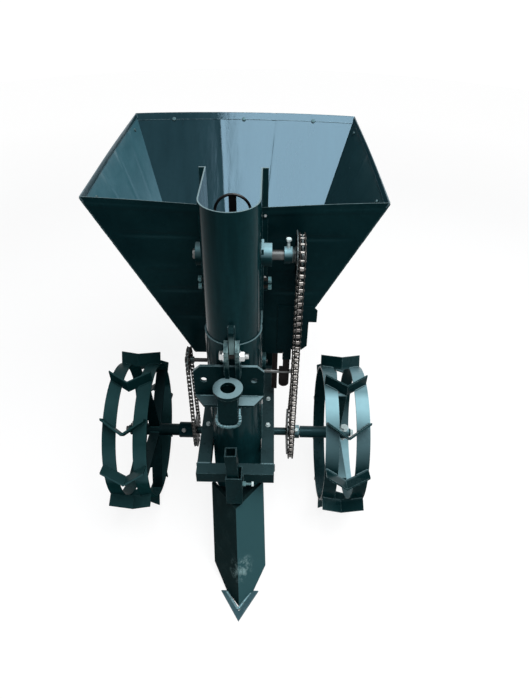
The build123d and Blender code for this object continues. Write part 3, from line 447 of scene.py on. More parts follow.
def thread(bm, centre, axis, radius, length, slot=0):
    """Short threaded end with shallow ridges and a chamfer."""
    profile = [(0, 0), (radius, 0)]
    turns = max(2, int(length / 1.5))
    for n in range(turns):
        z = length * n / turns
        profile += [(radius, z + 0.15), (radius - 0.55, z + 0.75)]
    profile += [(radius - 0.8, length), (0, length)]
    lathe(bm, centre, axis, profile, 14, slot=slot)


def bead(bm, points, radius, ripple=2.4, closed=False):
    """Weld bead along a path of points: a lumpy half-sunk rope with ripples."""
    path = [Vector(p) for p in points]
    if closed:
        path.append(path[0])
    steps = []
    for a, b in zip(path, path[1:]):
        count = max(1, int((b - a).length / (ripple / 2)))
        steps += [a.lerp(b, n / count) for n in range(count)]
    if not closed:
        steps.append(path[-1])
    rings = []
    total = len(steps)
    for n, here in enumerate(steps):
        ahead = steps[(n + 1) % total] if closed or n + 1 < total else here
        behind = steps[n - 1] if closed or n else here
        along = (ahead - behind).normalized()
        side = along.orthogonal().normalized()
        up = along.cross(side)
        fat = radius * (1.0 + (0.13 if n % 2 else -0.10) + rng.uniform(-0.10, 0.10))
        if not closed:
            fat *= min(1.0, 0.45 + 0.3 * min(n, total - 1 - n))
        jog = Vector([rng.uniform(-0.25, 0.25) for _ in range(3)])
        rings.append([bm.verts.new(here + jog + fat * (x * side + y * up)) for x, y in circle(1.0, 8)])
    pairs = list(zip(rings, rings[1:])) + ([(rings[-1], rings[0])] if closed else [])
    for low, high in pairs:
        # match the rings so that the tube does not twist
        shift = min(range(8), key=lambda s: sum(
            (low[k].co - high[(k + s) % 8].co).length for k in range(0, 8, 2)))
        for k in range(8):
            bm.faces.new((low[k], low[(k + 1) % 8], high[(k + 1 + shift) % 8], high[(k + shift) % 8]))
    if not closed:
        bm.faces.new(rings[0])
        bm.faces.new(rings[-1])


def slab(bm, outline, low, high, place):
    """Plate with the given (x, y) outline between two heights, moved by the matrix place."""
    bottom = [bm.verts.new(place @ Vector((x, y, low))) for x, y in outline]
    top = [bm.verts.new(place @ Vector((x, y, high))) for x, y in outline]
    bm.faces.new(bottom[::-1])
    bm.faces.new(top)
    for n, m in around(len(outline)):
        bm.faces.new((bottom[n], bottom[m], top[m], top[n]))


def ring_points(centre, radius, axis, count):
    """Points round an axis."""
    place = Matrix.Translation(Vector(centre)) @ turned(axis)
    return [place @ Vector((x, y, 0)) for x, y in circle(radius, count)]


# ---- chains ----
def pitch_radius(teeth, pitch):
    return pitch / 2 / sin(pi / teeth)


def belt(wheels, pitch_hint):
    """Places (y, z, on a wheel) one pitch apart round wheels given as (y, z, radius, turn)."""
    spans = []
    for n, (ya, za, ra, ta) in enumerate(wheels):
        yb, zb, rb, tb = wheels[(n + 1) % len(wheels)]
        reach_a, reach_b = ta * ra, tb * rb
        lean = asin((reach_b - reach_a) / hypot(yb - ya, zb - za))
        heading = atan2(zb - za, yb - ya) - lean
        ny, nz = -sin(heading), cos(heading)
        spans.append(((ya - reach_a * ny, za - reach_a * nz), (yb - reach_b * ny, zb - reach_b * nz)))
    runs = []
    for n, (y, z, r, turn) in enumerate(wheels):
        start, end = spans[n - 1][1], spans[n][0]
        a0 = atan2(start[1] - z, start[0] - y)
        sweep = (turn * (atan2(end[1] - z, end[0] - y) - a0)) % (2 * pi)
        runs.append((r * sweep, True, (y, z, r, a0, turn * sweep)))
        runs.append((dist(*spans[n]), False, spans[n]))
    total = sum(length for length, _, _ in runs)
    links = 2 * round(total / pitch_hint / 2)
    step = total / links
    points = []
    for k in range(links):
        s = k * step
        for length, on_wheel, shape in runs:
            if s <= length:
                break
            s -= length
        share = s / length
        if on_wheel:
            y, z, r, a0, sweep = shape
            a = a0 + share * sweep
            points.append((y + r * cos(a), z + r * sin(a), True))
        else:
            (y0, z0), (y1, z1) = shape
            points.append((y0 + share * (y1 - y0), z0 + share * (z1 - z0), False))
    return points


def link_outline(pitch, high):
    """Waisted side plate of a roller chain, from (0, 0) to (pitch, 0)."""
    r = high / 2
    points = []
    for x, start, waist in ((0.0, pi / 2, -0.72), (pitch, -pi / 2, 0.72)):
        for n in range(9):
            a = start + pi * n / 8
            points.append((x + r * cos(a), r * sin(a)))
        points.append((pitch / 2, r * waist))
    return points


def roller_chain(name, node_name, x, wheels, pitch, high, roller_r, gap, plate_t, shiny):
    """Real links for a chain: inner and outer plates in turn, pins with rivet heads, rollers."""
    bm = bmesh.new()
    places = belt(wheels, pitch)
    count = len(places)
    for k, (y, z, on_wheel) in enumerate(places):
        yn, zn, _ = places[(k + 1) % count]
        length = hypot(yn - y, zn - z)
        heading = Vector((0, yn - y, zn - z)).normalized()
        across = Vector((1, 0, 0))
        turn = Matrix((heading, across.cross(heading), across)).transposed().to_4x4()
        place = Matrix.Translation((x, y, z)) @ turn
        outer = k % 2
        inside = gap / 2 + (plate_t + 0.15 if outer else 0.0)
        for side in (-1, 1):
            low, high_x = sorted((side * inside, side * (inside + plate_t)))
            slab(bm, link_outline(length, high), low, high_x, place)
        half = gap / 2 + 2 * plate_t + 1.0
        rivet = roller_r * 0.5
        pin = [(0, 0), (rivet * 0.8, 0), (rivet, 0.5), (rivet, 2 * half - 0.5), (rivet * 0.8, 2 * half),
               (0, 2 * half)]
        lathe(bm, (x - half, y, z), (1, 0, 0), pin, 10, slot=1)
        if not on_wheel:
            roller = [(0, 0), (roller_r, 0), (roller_r, gap - 0.2), (0, gap - 0.2)]
            lathe(bm, (x - gap / 2 + 0.1, y, z), (1, 0, 0), roller, 14, slot=1)
    add_piece(name, "frame", [chain_steel, shiny], bm, 40.0, [node_name])


cup_r = pitch_radius(19, DRIVE_PITCH)
drive_wheels = [
    (SHAFT_Y, UPPER_Z, pitch_radius(15, DRIVE_PITCH), 1),
    (0.0, AXLE_Z, pitch_radius(25, DRIVE_PITCH), 1),
    (52.0, 364.0, 36.3, -1),                    # idler, which presses from outside
]
small_wheels = [(SHAFT_Y, LOWER_Z, pitch_radius(13, SMALL_PITCH), 1),
                (0.0, AXLE_Z, pitch_radius(19, SMALL_PITCH), 1)]
cup_wheels = [(SHAFT_Y, UPPER_Z, cup_r, 1), (SHAFT_Y, LOWER_Z, cup_r, 1)]
roller_chain("drive_chain_links", "drive_chain", DRIVE_X, drive_wheels, DRIVE_PITCH, 13.0, 5.0, 7.6, 1.1,
             chain_bright)
roller_chain("left_chain_links", "left_chain", SMALL_X, small_wheels, SMALL_PITCH, 9.0, 3.4, 5.0, 0.8,
             chain_dull)
roller_chain("cup_chain_links", "cup_chain", 0.0, cup_wheels, DRIVE_PITCH, 12.0, 5.0, 6.4, 1.2, chain_dull)


# ---- sprockets ----
def tooth_profile(teeth, pitch, roller_r):
    """Outline of a chain sprocket with round seats and blunt teeth."""
    pitch_r = pitch_radius(teeth, pitch)
    seat = roller_r + 0.2
    tip_r = pitch_r + 2.6
    wide = 0.16 * 2 * pi / teeth
    points = []
    for n in range(teeth):
        a = 2 * pi * n / teeth
        cy, cz = pitch_r * sin(a), pitch_r * cos(a)
        for k in range(5):
            b = a + pi + radians(-62 + 31 * k)
            points.append((cy + seat * sin(b), cz + seat * cos(b)))
        for side in (-0.5, 0.5):
            b = a + pi / teeth + side * wide
            points.append((tip_r * sin(b), tip_r * cos(b)))
    return points


def sprocket_disc(bm, x, y, z, teeth, pitch, roller_r, thick, bore=10.05):
    """Toothed disc about an X axis, a little thinner at its teeth."""
    outline = tooth_profile(teeth, pitch, roller_r)
    angles = [atan2(a, b) for a, b in outline]
    rim_r = pitch_radius(teeth, pitch) - roller_r - 3.0
    sides = []
    for level in (-thick / 2, thick / 2):
        rows = [[bm.verts.new((x + level * 0.72, y + a, z + b)) for a, b in outline]]
        for r in (rim_r, bore):
            rows.append([bm.verts.new((x + level, y + r * sin(a), z + r * cos(a))) for a in angles])
        sides.append(rows)
        for n, m in around(len(outline)):
            for outer, inner in zip(rows, rows[1:]):
                bm.faces.new((outer[n], outer[m], inner[m], inner[n]))
    (teeth_0, _, bore_0), (teeth_1, _, bore_1) = sides
    for n, m in around(len(outline)):
        for low, high in ((teeth_0, teeth_1), (bore_0, bore_1)):
            bm.faces.new((low[n], low[m], high[m], high[n]))


def collar(bm, x0, x1, y, z, radius, bore=10.05, slot=0):
    """Ring about an X axis with chamfered rims."""
    chamfer = 0.8
    long = x1 - x0
    inset = radius - chamfer
    section = [(bore, 0), (inset, 0), (radius, chamfer), (radius, long - chamfer), (inset, long),
               (bore, long), (bore, 0)]
    lathe(bm, (x0, y, z), (1, 0, 0), section, 40, slot=slot)


def set_bolt(bm, x, y, z, direction, radius, stand):
    """Small set bolt that stands out of a hub at radius, along the direction."""
    d = Vector(direction).normalized()
    foot = Vector((x, y, z)) + d * (radius - 1.0)
    lathe(bm, foot, d, [(0, 0), (3.0, 0), (3.0, stand), (0, stand)], 14, slot=1)
    hex_head(bm, foot + d * stand, d, 10.0, 5.0, slot=1)


def drive_group(name, node_name, body, y, z, teeth, spare, step, set_side, stand):
    """Sprocket of the drive chain with a spare one beside it, on a hub with a collar between two places."""
    bm = bmesh.new()
    inner_x, outer_x = DRIVE_X - 11.0, DRIVE_X + 2.2
    sprocket_disc(bm, DRIVE_X, y, z, teeth, DRIVE_PITCH, 5.0, 4.4)
    sprocket_disc(bm, DRIVE_X - 9.5, y, z, spare, DRIVE_PITCH, 5.0, 3.0)
    collar(bm, min(step[0], inner_x), max(step[1], outer_x), y, z, 15.0)
    collar(bm, step[0], step[1], y, z, 17.0, slot=2)
    set_bolt(bm, sum(step) / 2, y, z, set_side, 17.0, stand)
    for x in (inner_x - 0.2, outer_x):
        bead(bm, ring_points((x, y, z), 15.6, (1, 0, 0), 36), 1.4, 2.2, closed=True)
    add_piece(name, body, [sprocket_steel, bolt_pale, paint_hub], bm, 32.0, [node_name])


drive_group("axle_sprocket_pair", "axle_sprockets", "axle", 0.0, AXLE_Z, 25, 22, (136.0, 153.0),
            (0, -0.5, 0.85), 7.0)
drive_group("upper_sprocket_pair", "upper_sprockets", "upper_shaft", SHAFT_Y, UPPER_Z, 15, 18, (97.0, 113.5),
            (0, 0, 1), 16.0)

bm = bmesh.new()
sprocket_disc(bm, SMALL_X, 0.0, AXLE_Z, 19, SMALL_PITCH, 4.2, 4.4)
collar(bm, -154.0, SMALL_X - 2.2, 0.0, AXLE_Z, 20.0, slot=2)
set_bolt(bm, -140.0, 0.0, AXLE_Z, (0, -0.7, 0.7), 20.0, 6.0)
bead(bm, ring_points((SMALL_X - 2.4, 0.0, AXLE_Z), 20.6, (1, 0, 0), 36), 1.6, 2.2, closed=True)
add_piece("axle_sprocket_small", "axle", [sprocket_steel, steel_dull, paint_flat], bm, 32.0,
          ["axle_sprocket_left"])

bm = bmesh.new()
sprocket_disc(bm, 0.0, SHAFT_Y, UPPER_Z, 19, DRIVE_PITCH, 5.0, 4.4)
collar(bm, -16.0, 16.0, SHAFT_Y, UPPER_Z, 20.0)
add_piece("cup_sprocket_disc", "upper_shaft", [sprocket_steel], bm, 32.0, ["cup_sprocket"])

bm = bmesh.new()
sprocket_disc(bm, SMALL_X, SHAFT_Y, LOWER_Z, 13, SMALL_PITCH, 4.2, 4.4, bore=4.55)
collar(bm, SMALL_X - 2.2, SMALL_X + 11.8, SHAFT_Y, LOWER_Z, 8.0, bore=4.55)
add_piece("agitator_sprocket_disc", "agitator", [sprocket_steel], bm, 32.0,
          ["agitator_sprocket"])


# ---- ring cups ----
CUPS = 9
RING_R = 33.0
WIRE_R = 2.7


def cup_places():
    """For each cup, the height of what carries it and the (y, z) way in which it points outwards."""
    run = UPPER_Z - LOWER_Z
    turn = pi * cup_r
    loop = 2 * run + 2 * turn
    places = []
    for n in range(CUPS):
        s = loop * n / CUPS
        if s > loop - turn / 2:
            s -= loop
        if s < turn / 2:
            a = s / cup_r
            places.append((UPPER_Z, -sin(a), cos(a)))
        elif s < turn / 2 + run:
            places.append((UPPER_Z - (s - turn / 2), -1.0, 0.0))
        elif s < 1.5 * turn + run:
            a = pi / 2 + (s - turn / 2 - run) / cup_r
            places.append((LOWER_Z, -sin(a), cos(a)))
        else:
            places.append((LOWER_Z + (s - 1.5 * turn - run), 1.0, 0.0))
    return places


def ring(bm, centre, across, out, along):
    """Ring of round wire, which lies along across and out."""
    rows = []
    for x, y in circle(1.0, 40):
        spoke = x * across + y * out
        section = circle(WIRE_R, 10)
        rows.append([bm.verts.new(centre + spoke * (RING_R + a) + along * b) for a, b in section])
    for n, m in around(40):
        for k, j in around(10):
            bm.faces.new((rows[n][k], rows[m][k], rows[m][j], rows[n][j]))


bm = bmesh.new()
for z, out_y, out_z in cup_places():
    across = Vector((1, 0, 0))
    out = Vector((0, out_y, out_z))
    along = across.cross(out)
    centre = Vector((0, SHAFT_Y, z)) + out * (cup_r + 6.3 + RING_R + 2.8)
    ring(bm, centre, across, out, along)
    place = Matrix.Translation(centre) @ Matrix((across, out, along)).transposed().to_4x4()
    slab(bm, [(-7, -35.4), (7, -35.4), (7, 32.5), (-7, 32.5)], -1.5, 1.5, place)
add_piece("ring_cups", "frame", [black], bm, 40.0, ["seed_cups"])


# ---- hopper sheets ----
def gauss(d, width):
    """Smooth ridge of height 1."""
    return exp(-(d / width) ** 2)


def sheet(name, hidden, corners, cols, rows, push, inner_finish, inwards, arch=None):
    """Thin panel between four corners (low left, low right, top right, top left).

    push moves it along its normal and arch in any direction. Both take the shares across and up.
    """
    a, b, c, d = corners
    normal = (b - a).cross(d - a).normalized()
    if normal.dot(Vector(inwards)) < 0:
        normal = -normal
    bm = bmesh.new()
    layers = []
    for depth in (0.0, SHEET):
        grid = []
        for j in range(rows + 1):
            v = j / rows
            row = []
            for i in range(cols + 1):
                u = i / cols
                p = a.lerp(b, u).lerp(d.lerp(c, u), v)
                if arch:
                    p += arch(u, v)
                row.append(bm.verts.new(p + normal * (depth + push(u, v))))
            grid.append(row)
        layers.append(grid)
    for layer, grid in enumerate(layers):
        for j in range(rows):
            for i in range(cols):
                quad = (grid[j][i], grid[j][i + 1], grid[j + 1][i + 1], grid[j + 1][i])
                face = bm.faces.new(quad if layer else quad[::-1])
                face.material_index = layer
    outer, inner = layers
    for j in range(rows):
        for i in (0, cols):
            bm.faces.new((outer[j][i], outer[j + 1][i], inner[j + 1][i], inner[j][i]))
    for i in range(cols):
        for j in (0, rows):
            bm.faces.new((outer[j][i], outer[j][i + 1], inner[j][i + 1], inner[j][i]))
    add_piece(name, "frame", [paint_sheet, inner_finish], bm, 40.0, [hidden])


# the hopper's corners: front or rear, left or right, low or top
corner = {
    "fl_low": Vector((-102, HOPPER_FRONT, HOPPER_BOTTOM)),
    "fr_low": Vector((102, HOPPER_FRONT, HOPPER_BOTTOM)),
    "rl_low": Vector((-98.9, 130, HOPPER_BOTTOM)),
    "rr_low": Vector((98.9, 130, HOPPER_BOTTOM)),
    "fl_top": Vector((-299, HOPPER_FRONT, HOPPER_TOP - 3)),
    "fr_top": Vector((299, HOPPER_FRONT, HOPPER_TOP - 6)),
    "rl_top": Vector((-285, 538, HOPPER_TOP)),
    "rr_top": Vector((285, 538, HOPPER_TOP)),
}


def panel(low_a, low_b):
    """Corners of the panel between two of the hopper's edges."""
    return corner[low_a + "_low"], corner[low_b + "_low"], corner[low_b + "_top"], corner[low_a + "_top"]


def rear_push(u, v):
    """Upright creases that fade to the edges, in a slightly wavy sheet."""
    crease = 0.5 * gauss(u - 0.385, 0.012) - 1.1 * gauss(u - 0.635, 0.008) + 0.5 * gauss(u - 0.10, 0.012)
    fade = sin(pi * u) * (0.25 + 0.75 * v)
    return crease * fade + 0.25 * sin(9.0 * u + 0.6) * sin(pi * u) * v


def rear_arch(u, v):
    """The rim's middle stands a little above its corners."""
    return Vector((0, 0.72, 0.69)) * 7.0 * sin(pi * u) ** 0.8 * v ** 3


def side_push(u, v):
    """Sides that bow inwards at the rim, with three creases."""
    crease = 0.9 * gauss(u - 0.30, 0.012) + 1.0 * gauss(u - 0.55, 0.012) - 0.8 * gauss(u - 0.8, 0.02)
    return (-3.6 * sin(pi * u) * v ** 2 + crease * sin(pi * u)) * (v > 0.02)


sheet("hopper_rear_sheet", "hopper_rear", panel("rl", "rr"), 90, 40, rear_push, paint_inside, (0, -1, 1),
      rear_arch)
for name, edges, finish, inward in (("left", ("fl", "rl"), paint_inner_left_lit, 1),
                                    ("right", ("fr", "rr"), paint_inner_right, -1)):
    sheet("hopper_" + name + "_sheet", "hopper_" + name, panel(*edges), 60, 40, side_push, finish,
          (inward, 0, 1))


def front_sheet(side):
    """Front panel beside the channel, with level creases and a rim that sags towards the channel."""
    def push(u, v):
        edge = sin(pi * min(1.0, u * 1.02)) * 0.8 + 0.2
        creases = 1.7 * gauss(v - 0.80, 0.012) - 1.0 * gauss(v - 0.60, 0.02) + 1.6 * gauss(v - 0.46, 0.012)
        creases += 1.2 * gauss(v - 0.28, 0.015)
        return creases * edge * min(1.0, 6 * u) * min(1.0, 6 * (1 - u)) - 1.1 * gauss(v - 0.955, 0.008)

    def sag(u, v):
        near = (1 - u) ** 1.3
        return Vector((0, -5.0 * near, -11.0 * near)) * v ** 6

    name = "left" if side < 0 else "right"
    top = corner["f" + name[0] + "_top"]
    inner = side * CHANNEL_R
    points = (Vector((inner, HOPPER_FRONT, HOPPER_BOTTOM)), Vector((side * 102, HOPPER_FRONT, HOPPER_BOTTOM)),
              top, Vector((inner, HOPPER_FRONT, top.z)))
    sheet("hopper_front_sheet_" + name, "hopper_front", points, 40, 90, push, paint_inside, (0, 1, 0), sag)


front_sheet(-1)
front_sheet(1)

# folded hem round the rim
bm = bmesh.new()
for start, end, wide in (("fl", "rl", 11.0), ("rl", "rr", 19.0), ("rr", "fr", 11.0)):
    pa, pb = corner[start + "_top"], corner[end + "_top"]
    da = (corner[start + "_low"] - pa).normalized()
    db = (corner[end + "_low"] - pb).normalized()
    inward = Vector((0, 250, 0)) - (pa + pb) / 2
    inward.z = 0
    inward.normalize()
    lines = []
    for i in range(25):
        u = i / 24
        top = pa.lerp(pb, u)
        if start == "rl":
            top += rear_arch(u, 1.0)
        else:
            top -= inward * 3.6 * sin(pi * u)
        fold = da.lerp(db, u) * wide
        near, far = top + inward * 1.17, top + inward * 2.73
        lines.append([bm.verts.new(p) for p in (near, far, far + fold, near + fold)])
    for low, high in zip(lines, lines[1:]):
        for k, j in around(4):
            bm.faces.new((low[k], low[j], high[j], high[k]))
    bm.faces.new(lines[0])
    bm.faces.new(lines[-1])
add_piece("hopper_hem", "frame", [paint_inside], bm, 30.0)

# spot welds on the rear hem and inside the left and right panels
bm = bmesh.new()
for u in (0.178, 0.495, 0.81):
    spot = corner["rl_top"].lerp(corner["rr_top"], u) + rear_arch(u, 1.0) + Vector((0, -14.5, -13.0))
    out = Vector((0, -0.69, 0.72))
    lathe(bm, spot + out * 0.5, out, [(0, 0), (5.0, 0), (4.6, 2.6), (2.6, 3.2), (0, 2.4)], 16)
for side in (-1, 1):
    for u, v in ((0.12, 0.93), (0.9, 0.95)):
        low = corner["fl_low"].lerp(corner["rl_low"], u)
        spot = low.lerp(corner["fl_top"].lerp(corner["rl_top"], u), v)
        spot.x *= -side
        out = Vector((side * -0.89, 0.03, 0.45))
        lathe(bm, spot + out * 0.5, out, [(0, 0), (4.2, 0), (3.6, 2.0), (0, 2.4)], 14)
add_piece("hopper_spot_welds", "frame", [weld], bm, 40.0)

# seams of the hopper's corners
bm = bmesh.new()
for edge in ("fl", "fr", "rl", "rr"):
    bead(bm, [corner[edge + "_low"], corner[edge + "_top"] - Vector((0, 0, 2))], 1.3, 3.4)
add_piece("hopper_seams", "frame", [weld], bm, 60.0)


# ---- bolts ----
# bearing bolts through the rails
bm = bmesh.new()
for side in (-1, 1):
    for y in (-44.0, 44.0):
        hex_head(bm, (side * RAIL_MID, y, RAIL_TOP), (0, 0, 1), 9.0, 4.5, 11.5, 1.2)
add_piece("rail_bolts", "frame", [bolt_pale], bm, 30.0)

# channel flange bolts
bm = bmesh.new()
for side in (-1, 1):
    for z in (783.0, 640.0):
        hex_head(bm, (side * 59.5, 45.0, z), (0, -1, 0), 5.5, 3.0, 7.0, 0.8)
add_piece("flange_bolts", "frame", [steel], bm, 30.0)

# bolts of the upper bearing brackets
bm = bmesh.new()
for side in (-1, 1):
    for z in (668.0, 651.0):
        thread(bm, (side * 57.6, SHAFT_Y, z), (side, 0, 0), 4.0, 10.0, slot=1)
        hex_head(bm, (side * 67.0, SHAFT_Y, z), (side, 0, 0), 12.0, 7.0)
add_piece("bracket_bolts", "frame", [bolt_teal, chain_steel], bm, 30.0)

# opener clamp bolt on the sleeve's right side
bm = bmesh.new()
hex_head(bm, (18.0, -208.0, 262.0), (1, 0, 0), 10.0, 7.0)
thread(bm, (22.0, -208.0, 262.0), (1, 0, 0), 3.0, 18.0)
hex_head(bm, (38.0, -208.0, 262.0), (1, 0, 0), 10.0, 4.5, slot=1)
add_piece("opener_clamp_bolt", "frame", [bolt_teal, bolt_pale], bm, 30.0)

# clevis bolt, with a dark shank
CLEVIS_Y = -149.0
CLEVIS_Z = 586.5
bm = bmesh.new()
shank = [(0, 0), (5.8, 0), (5.8, 46.0), (0, 46.0)]
lathe(bm, (-24.0, CLEVIS_Y, CLEVIS_Z), (1, 0, 0), shank, 20, slot=1)
hex_head(bm, (-15.0, CLEVIS_Y, CLEVIS_Z), (-1, 0, 0), 18.0, 7.0, 24.0, 2.2)
hex_head(bm, (15.0, CLEVIS_Y, CLEVIS_Z), (1, 0, 0), 18.0, 8.0, 24.0, 2.2)
thread(bm, (22.0, CLEVIS_Y, CLEVIS_Z), (1, 0, 0), 5.8, 10.5)
add_piece("clevis_bolt_set", "frame", [steel, chain_steel], bm, 30.0, ["clevis_bolt"])

# cross bolts that hold the wheels on the axle, and a bolt in each of its ends
# the left set is dull and the right set pale: painted shade on the left wheel, painted light on the right
for side, name, up, x, across, finish in ((-1, "left", -1, -270.0, 13.0, steel_dull),
                                          (1, "right", 1, 268.0, 17.0, bolt_pale)):
    bm = bmesh.new()
    hex_head(bm, (x, 0, AXLE_Z + up * 14.5), (0, 0, up), across, 7.0, across + 4.0, 1.6)
    hex_head(bm, (x, 0, AXLE_Z - up * 14.5), (0, 0, -up), across - 3.0, 6.0, across, 1.6)
    thread(bm, (x, 0, AXLE_Z - up * 21.0), (0, 0, -up), 4.0, 7.0)
    hex_head(bm, (side * 284.8, 0, AXLE_Z), (side, 0, 0), 14.0, 6.0, 18.5, 1.4)
    add_piece("wheel_bolts_" + name, "axle", [finish], bm, 30.0)


# ---- welds ----
HITCH_X = -8.0
bm = bmesh.new()
for side in (-1, 1):
    # rails to crossbars
    for y in (-160.0, 185.0):
        x0, x1 = side * 57.4, side * 87.4
        bead(bm, [(x0, y, 271.5), (x1, y, 271.5)], 2.3)
        for x in (x0, x1):
            bead(bm, [(x, y, RAIL_TOP), (x, y, 243.0)], 2.2)
# hitch tube, under its ring
bead(bm, ring_points((HITCH_X, -175.0, 518.5), 24.5, (0, 0, 1), 40), 2.4, closed=True)
for side in (-1, 1):
    # hitch plate to the pipe, lugs to the plate, and the plate's ledge
    bead(bm, [(side * 36.0, -139.5, 476.0), (side * 36.0, -139.5, 552.0)], 2.6)
    bead(bm, [(side * 15.4, -146.5, 532.0), (side * 15.4, -146.5, 600.0)], 2.2)
    bead(bm, [(HITCH_X + side * 22.0, -147.0, 476.0), (HITCH_X + side * 60.0, -147.0, 476.0)], 2.0)
for x in (-5.6, 5.6):
    # tongue to the pipe
    bead(bm, [(x, -136.5, 612.0), (x, -136.5, 650.0)], 2.0)
for side in (-1, 1):
    # sleeve to the crossbar
    bead(bm, [(side * 18.0, -190.5, 243.0), (side * 18.0, -190.5, 271.0)], 2.3)
for side in (-1, 1):
    # side plates to the pipe
    bead(bm, [(side * 55.0, -66.0, 350.0), (side * 55.0, -66.0, 600.0)], 2.0, 2.8)
for side in (-1, 1):
    # stays to the rails
    for dx in (-12.5, 12.5):
        bead(bm, [(side * RAIL_MID + dx, 173.0, 272.5), (side * RAIL_MID + dx, 197.0, 272.5)], 2.0)
add_piece("frame_welds", "frame", [weld], bm, 60.0)

# pale U round the hitch tube's lower end, and a bead down the pipe's right side, their paleness a painted
# highlight
bm = bmesh.new()
bead(bm, [(-29.0, -160.0, 468.0), (-29.5, -190.0, 450.0), (-28.0, -195.0, 442.0), (-20.0, -196.5, 438.5),
          (-8.0, -197.0, 437.0), (4.0, -196.5, 438.5), (12.0, -195.0, 442.0), (13.5, -190.0, 450.0),
          (13.0, -160.0, 468.0)], 3.4, 3.6)
bead(bm, [(-30.0, -186.0, 462.0), (-31.0, -192.0, 449.0), (-27.0, -196.0, 441.0)], 4.2, 3.0)
bead(bm, [(14.0, -186.0, 464.0), (14.5, -192.0, 450.0), (11.0, -196.0, 441.0)], 4.2, 3.0)
bead(bm, [(57.8, -88.0, 276.0), (58.0, -87.0, 330.0), (57.4, -91.0, 396.0)], 1.5, 3.0)
add_piece("tube_foot_weld", "frame", [weld_pale], bm, 60.0)

# lug and spoke welds of both wheels
LUGS = 10
SPOKES = 5
SWEEP = 34.0                # how far a lug's tip leads its ends
TURN = 4.2                  # degrees that the wheels have turned
first_spoke = degrees(asin(SWEEP / 2 / 200.0)) + TURN


def on_wheel(side, angle, x, y, z):
    """A point of an upright wheel, turned about the axle and moved to its side."""
    turn = Matrix.Rotation(radians(angle), 4, "X")
    return turn @ Vector((x, y, z)) + Vector((side * WHEEL_X, 0, AXLE_Z))


for side, name, finish, spoke_x in ((-1, "left", paint_left_shaded, 38.0), (1, "right", weld, -11.0)):
    bm = bmesh.new()
    for n in range(LUGS):
        for hoop in (-1, 1):
            for edge in (-3.4, 3.4):
                points = []
                for x in (hoop * 20.5, hoop * 47.0):
                    lead = SWEEP / 2 - SWEEP * (1 - abs(x) / 49.0)
                    points.append(on_wheel(side, 360 / LUGS * n + TURN, x, lead + edge, 170.4))
                bead(bm, points, 1.9, 2.8)
    for n in range(SPOKES):
        angle = first_spoke + 360 / SPOKES * n
        for edge in (-1, 1):
            for y, z in ((edge * 3.2, 165.0), (edge * 3.0, 15.2)):
                bead(bm, [on_wheel(side, angle, spoke_x + dx, y, z) for dx in (-12.0, 12.0)], 1.9, 2.8)
    add_piece("wheel_welds_" + name, "axle", [finish], bm, 60.0)

# opener: the blades lean to the right and rake back as they rise
LEAN = radians(2.8)
RAKE = 134.0 / 199.0
lean = Matrix.Translation((0, 0, 257)) @ Matrix.Rotation(-LEAN, 4, "Y") @ Matrix.Translation((0, 0, -257))
bm = bmesh.new()
for side in (-1, 1):
    bead(bm, [lean @ Vector((side * 14.5, RAKE * z - 334.9, z)) for z in (112.0, 194.0)], 2.2)
add_piece("opener_welds", "opener", [weld], bm, 60.0)

# share welds, pale as painted highlights
bm = bmesh.new()
share_x = 45.0 * sin(LEAN) + 8.0
for side in (-1, 1):
    bead(bm, [(share_x, -369.5, 4.4), (share_x + side * 29.0, -327.0, 4.4)], 3.3, 3.0)
add_piece("share_welds", "opener", [weld_pale], bm, 60.0)

# dark web that closes the V of the opener near its top: a sheet of painted shade where the V's inside lies in
# shade
bm = bmesh.new()
slab(bm, [(0, -227.0), (50.0, -167.0), (48.0, -162.5), (-48.0, -162.5), (-50.0, -167.0)], 186.0, 190.0, lean)
add_piece("opener_shade_web", "opener", [paint_shaded], bm, 30.0)


# ---- materials of the CAD nodes ----
looks = {
    # the right upper bearing has the hub's strong painted top light, the left one the plain enamel's weaker
    # one, as painted shade
    paint: ["side_plate_left", "side_plate_right", "boot", "upper_bearing_left"],
    paint_hub: ["upper_bearing_right"],
    paint_clevis: ["clevis_lugs"],
    paint_tongue: ["tongue_plate"],
    paint_pipe: ["seed_pipe", "elevator_channel"],
    paint_hitch: ["hitch_plate", "hitch_tube"],
    paint_frame: ["front_crossbar", "side_rails", "rear_crossbar", "hopper_stays", "hopper_floor",
                  "axle_bearing_left", "axle_bearing_right", "opener_sleeve", "opener_stem",
                  "lower_bearing_left", "lower_bearing_right", "axle"],
    paint_right_lit: ["wheel_rim_right", "wheel_hub_right"],
    paint_left_shaded: ["wheel_rim_left"],
    paint_shaded: ["wheel_hub_left"],
    paint_flat: ["guard_plate"],
    paint_worn_side_lit: ["opener_blades"],
    paint_share: ["opener_share"],
    steel_dull: ["upper_shaft", "tension_rod"],
    black: ["agitator_shaft"],
    brown: ["tension_idler", "tension_finger", "tension_hanger"],
}
for material, names in looks.items():
    for name in names:
        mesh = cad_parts[name].data
        mesh.materials.clear()
        mesh.materials.append(material)


# ---- stage, light, camera ----
def camera():
    """Camera ahead of the drill and above it, a little to its right."""
    data = bpy.data.cameras.new("camera")
    made = add_object("camera", data)
    data.sensor_fit = "HORIZONTAL"
    data.sensor_width = 36.0
    data.lens = 36.908507
    data.clip_start = 0.05
    data.clip_end = 60.0
    pitch, yaw, roll = [radians(angle) for angle in (40.59, 0.332, 0.753)]
    look = Vector((-sin(yaw) * cos(pitch), cos(yaw) * cos(pitch), -sin(pitch)))
    right = Vector((cos(yaw), sin(yaw), 0.0))
    up = right.cross(look)
    axes = (right * cos(roll) + up * sin(roll), up * cos(roll) - right * sin(roll), -look)
    turn = Matrix(axes).transposed().to_4x4()
    made.matrix_world = Matrix.Translation((0.0668, -0.9272, 1.2716)) @ turn
    bpy.context.scene.camera = made


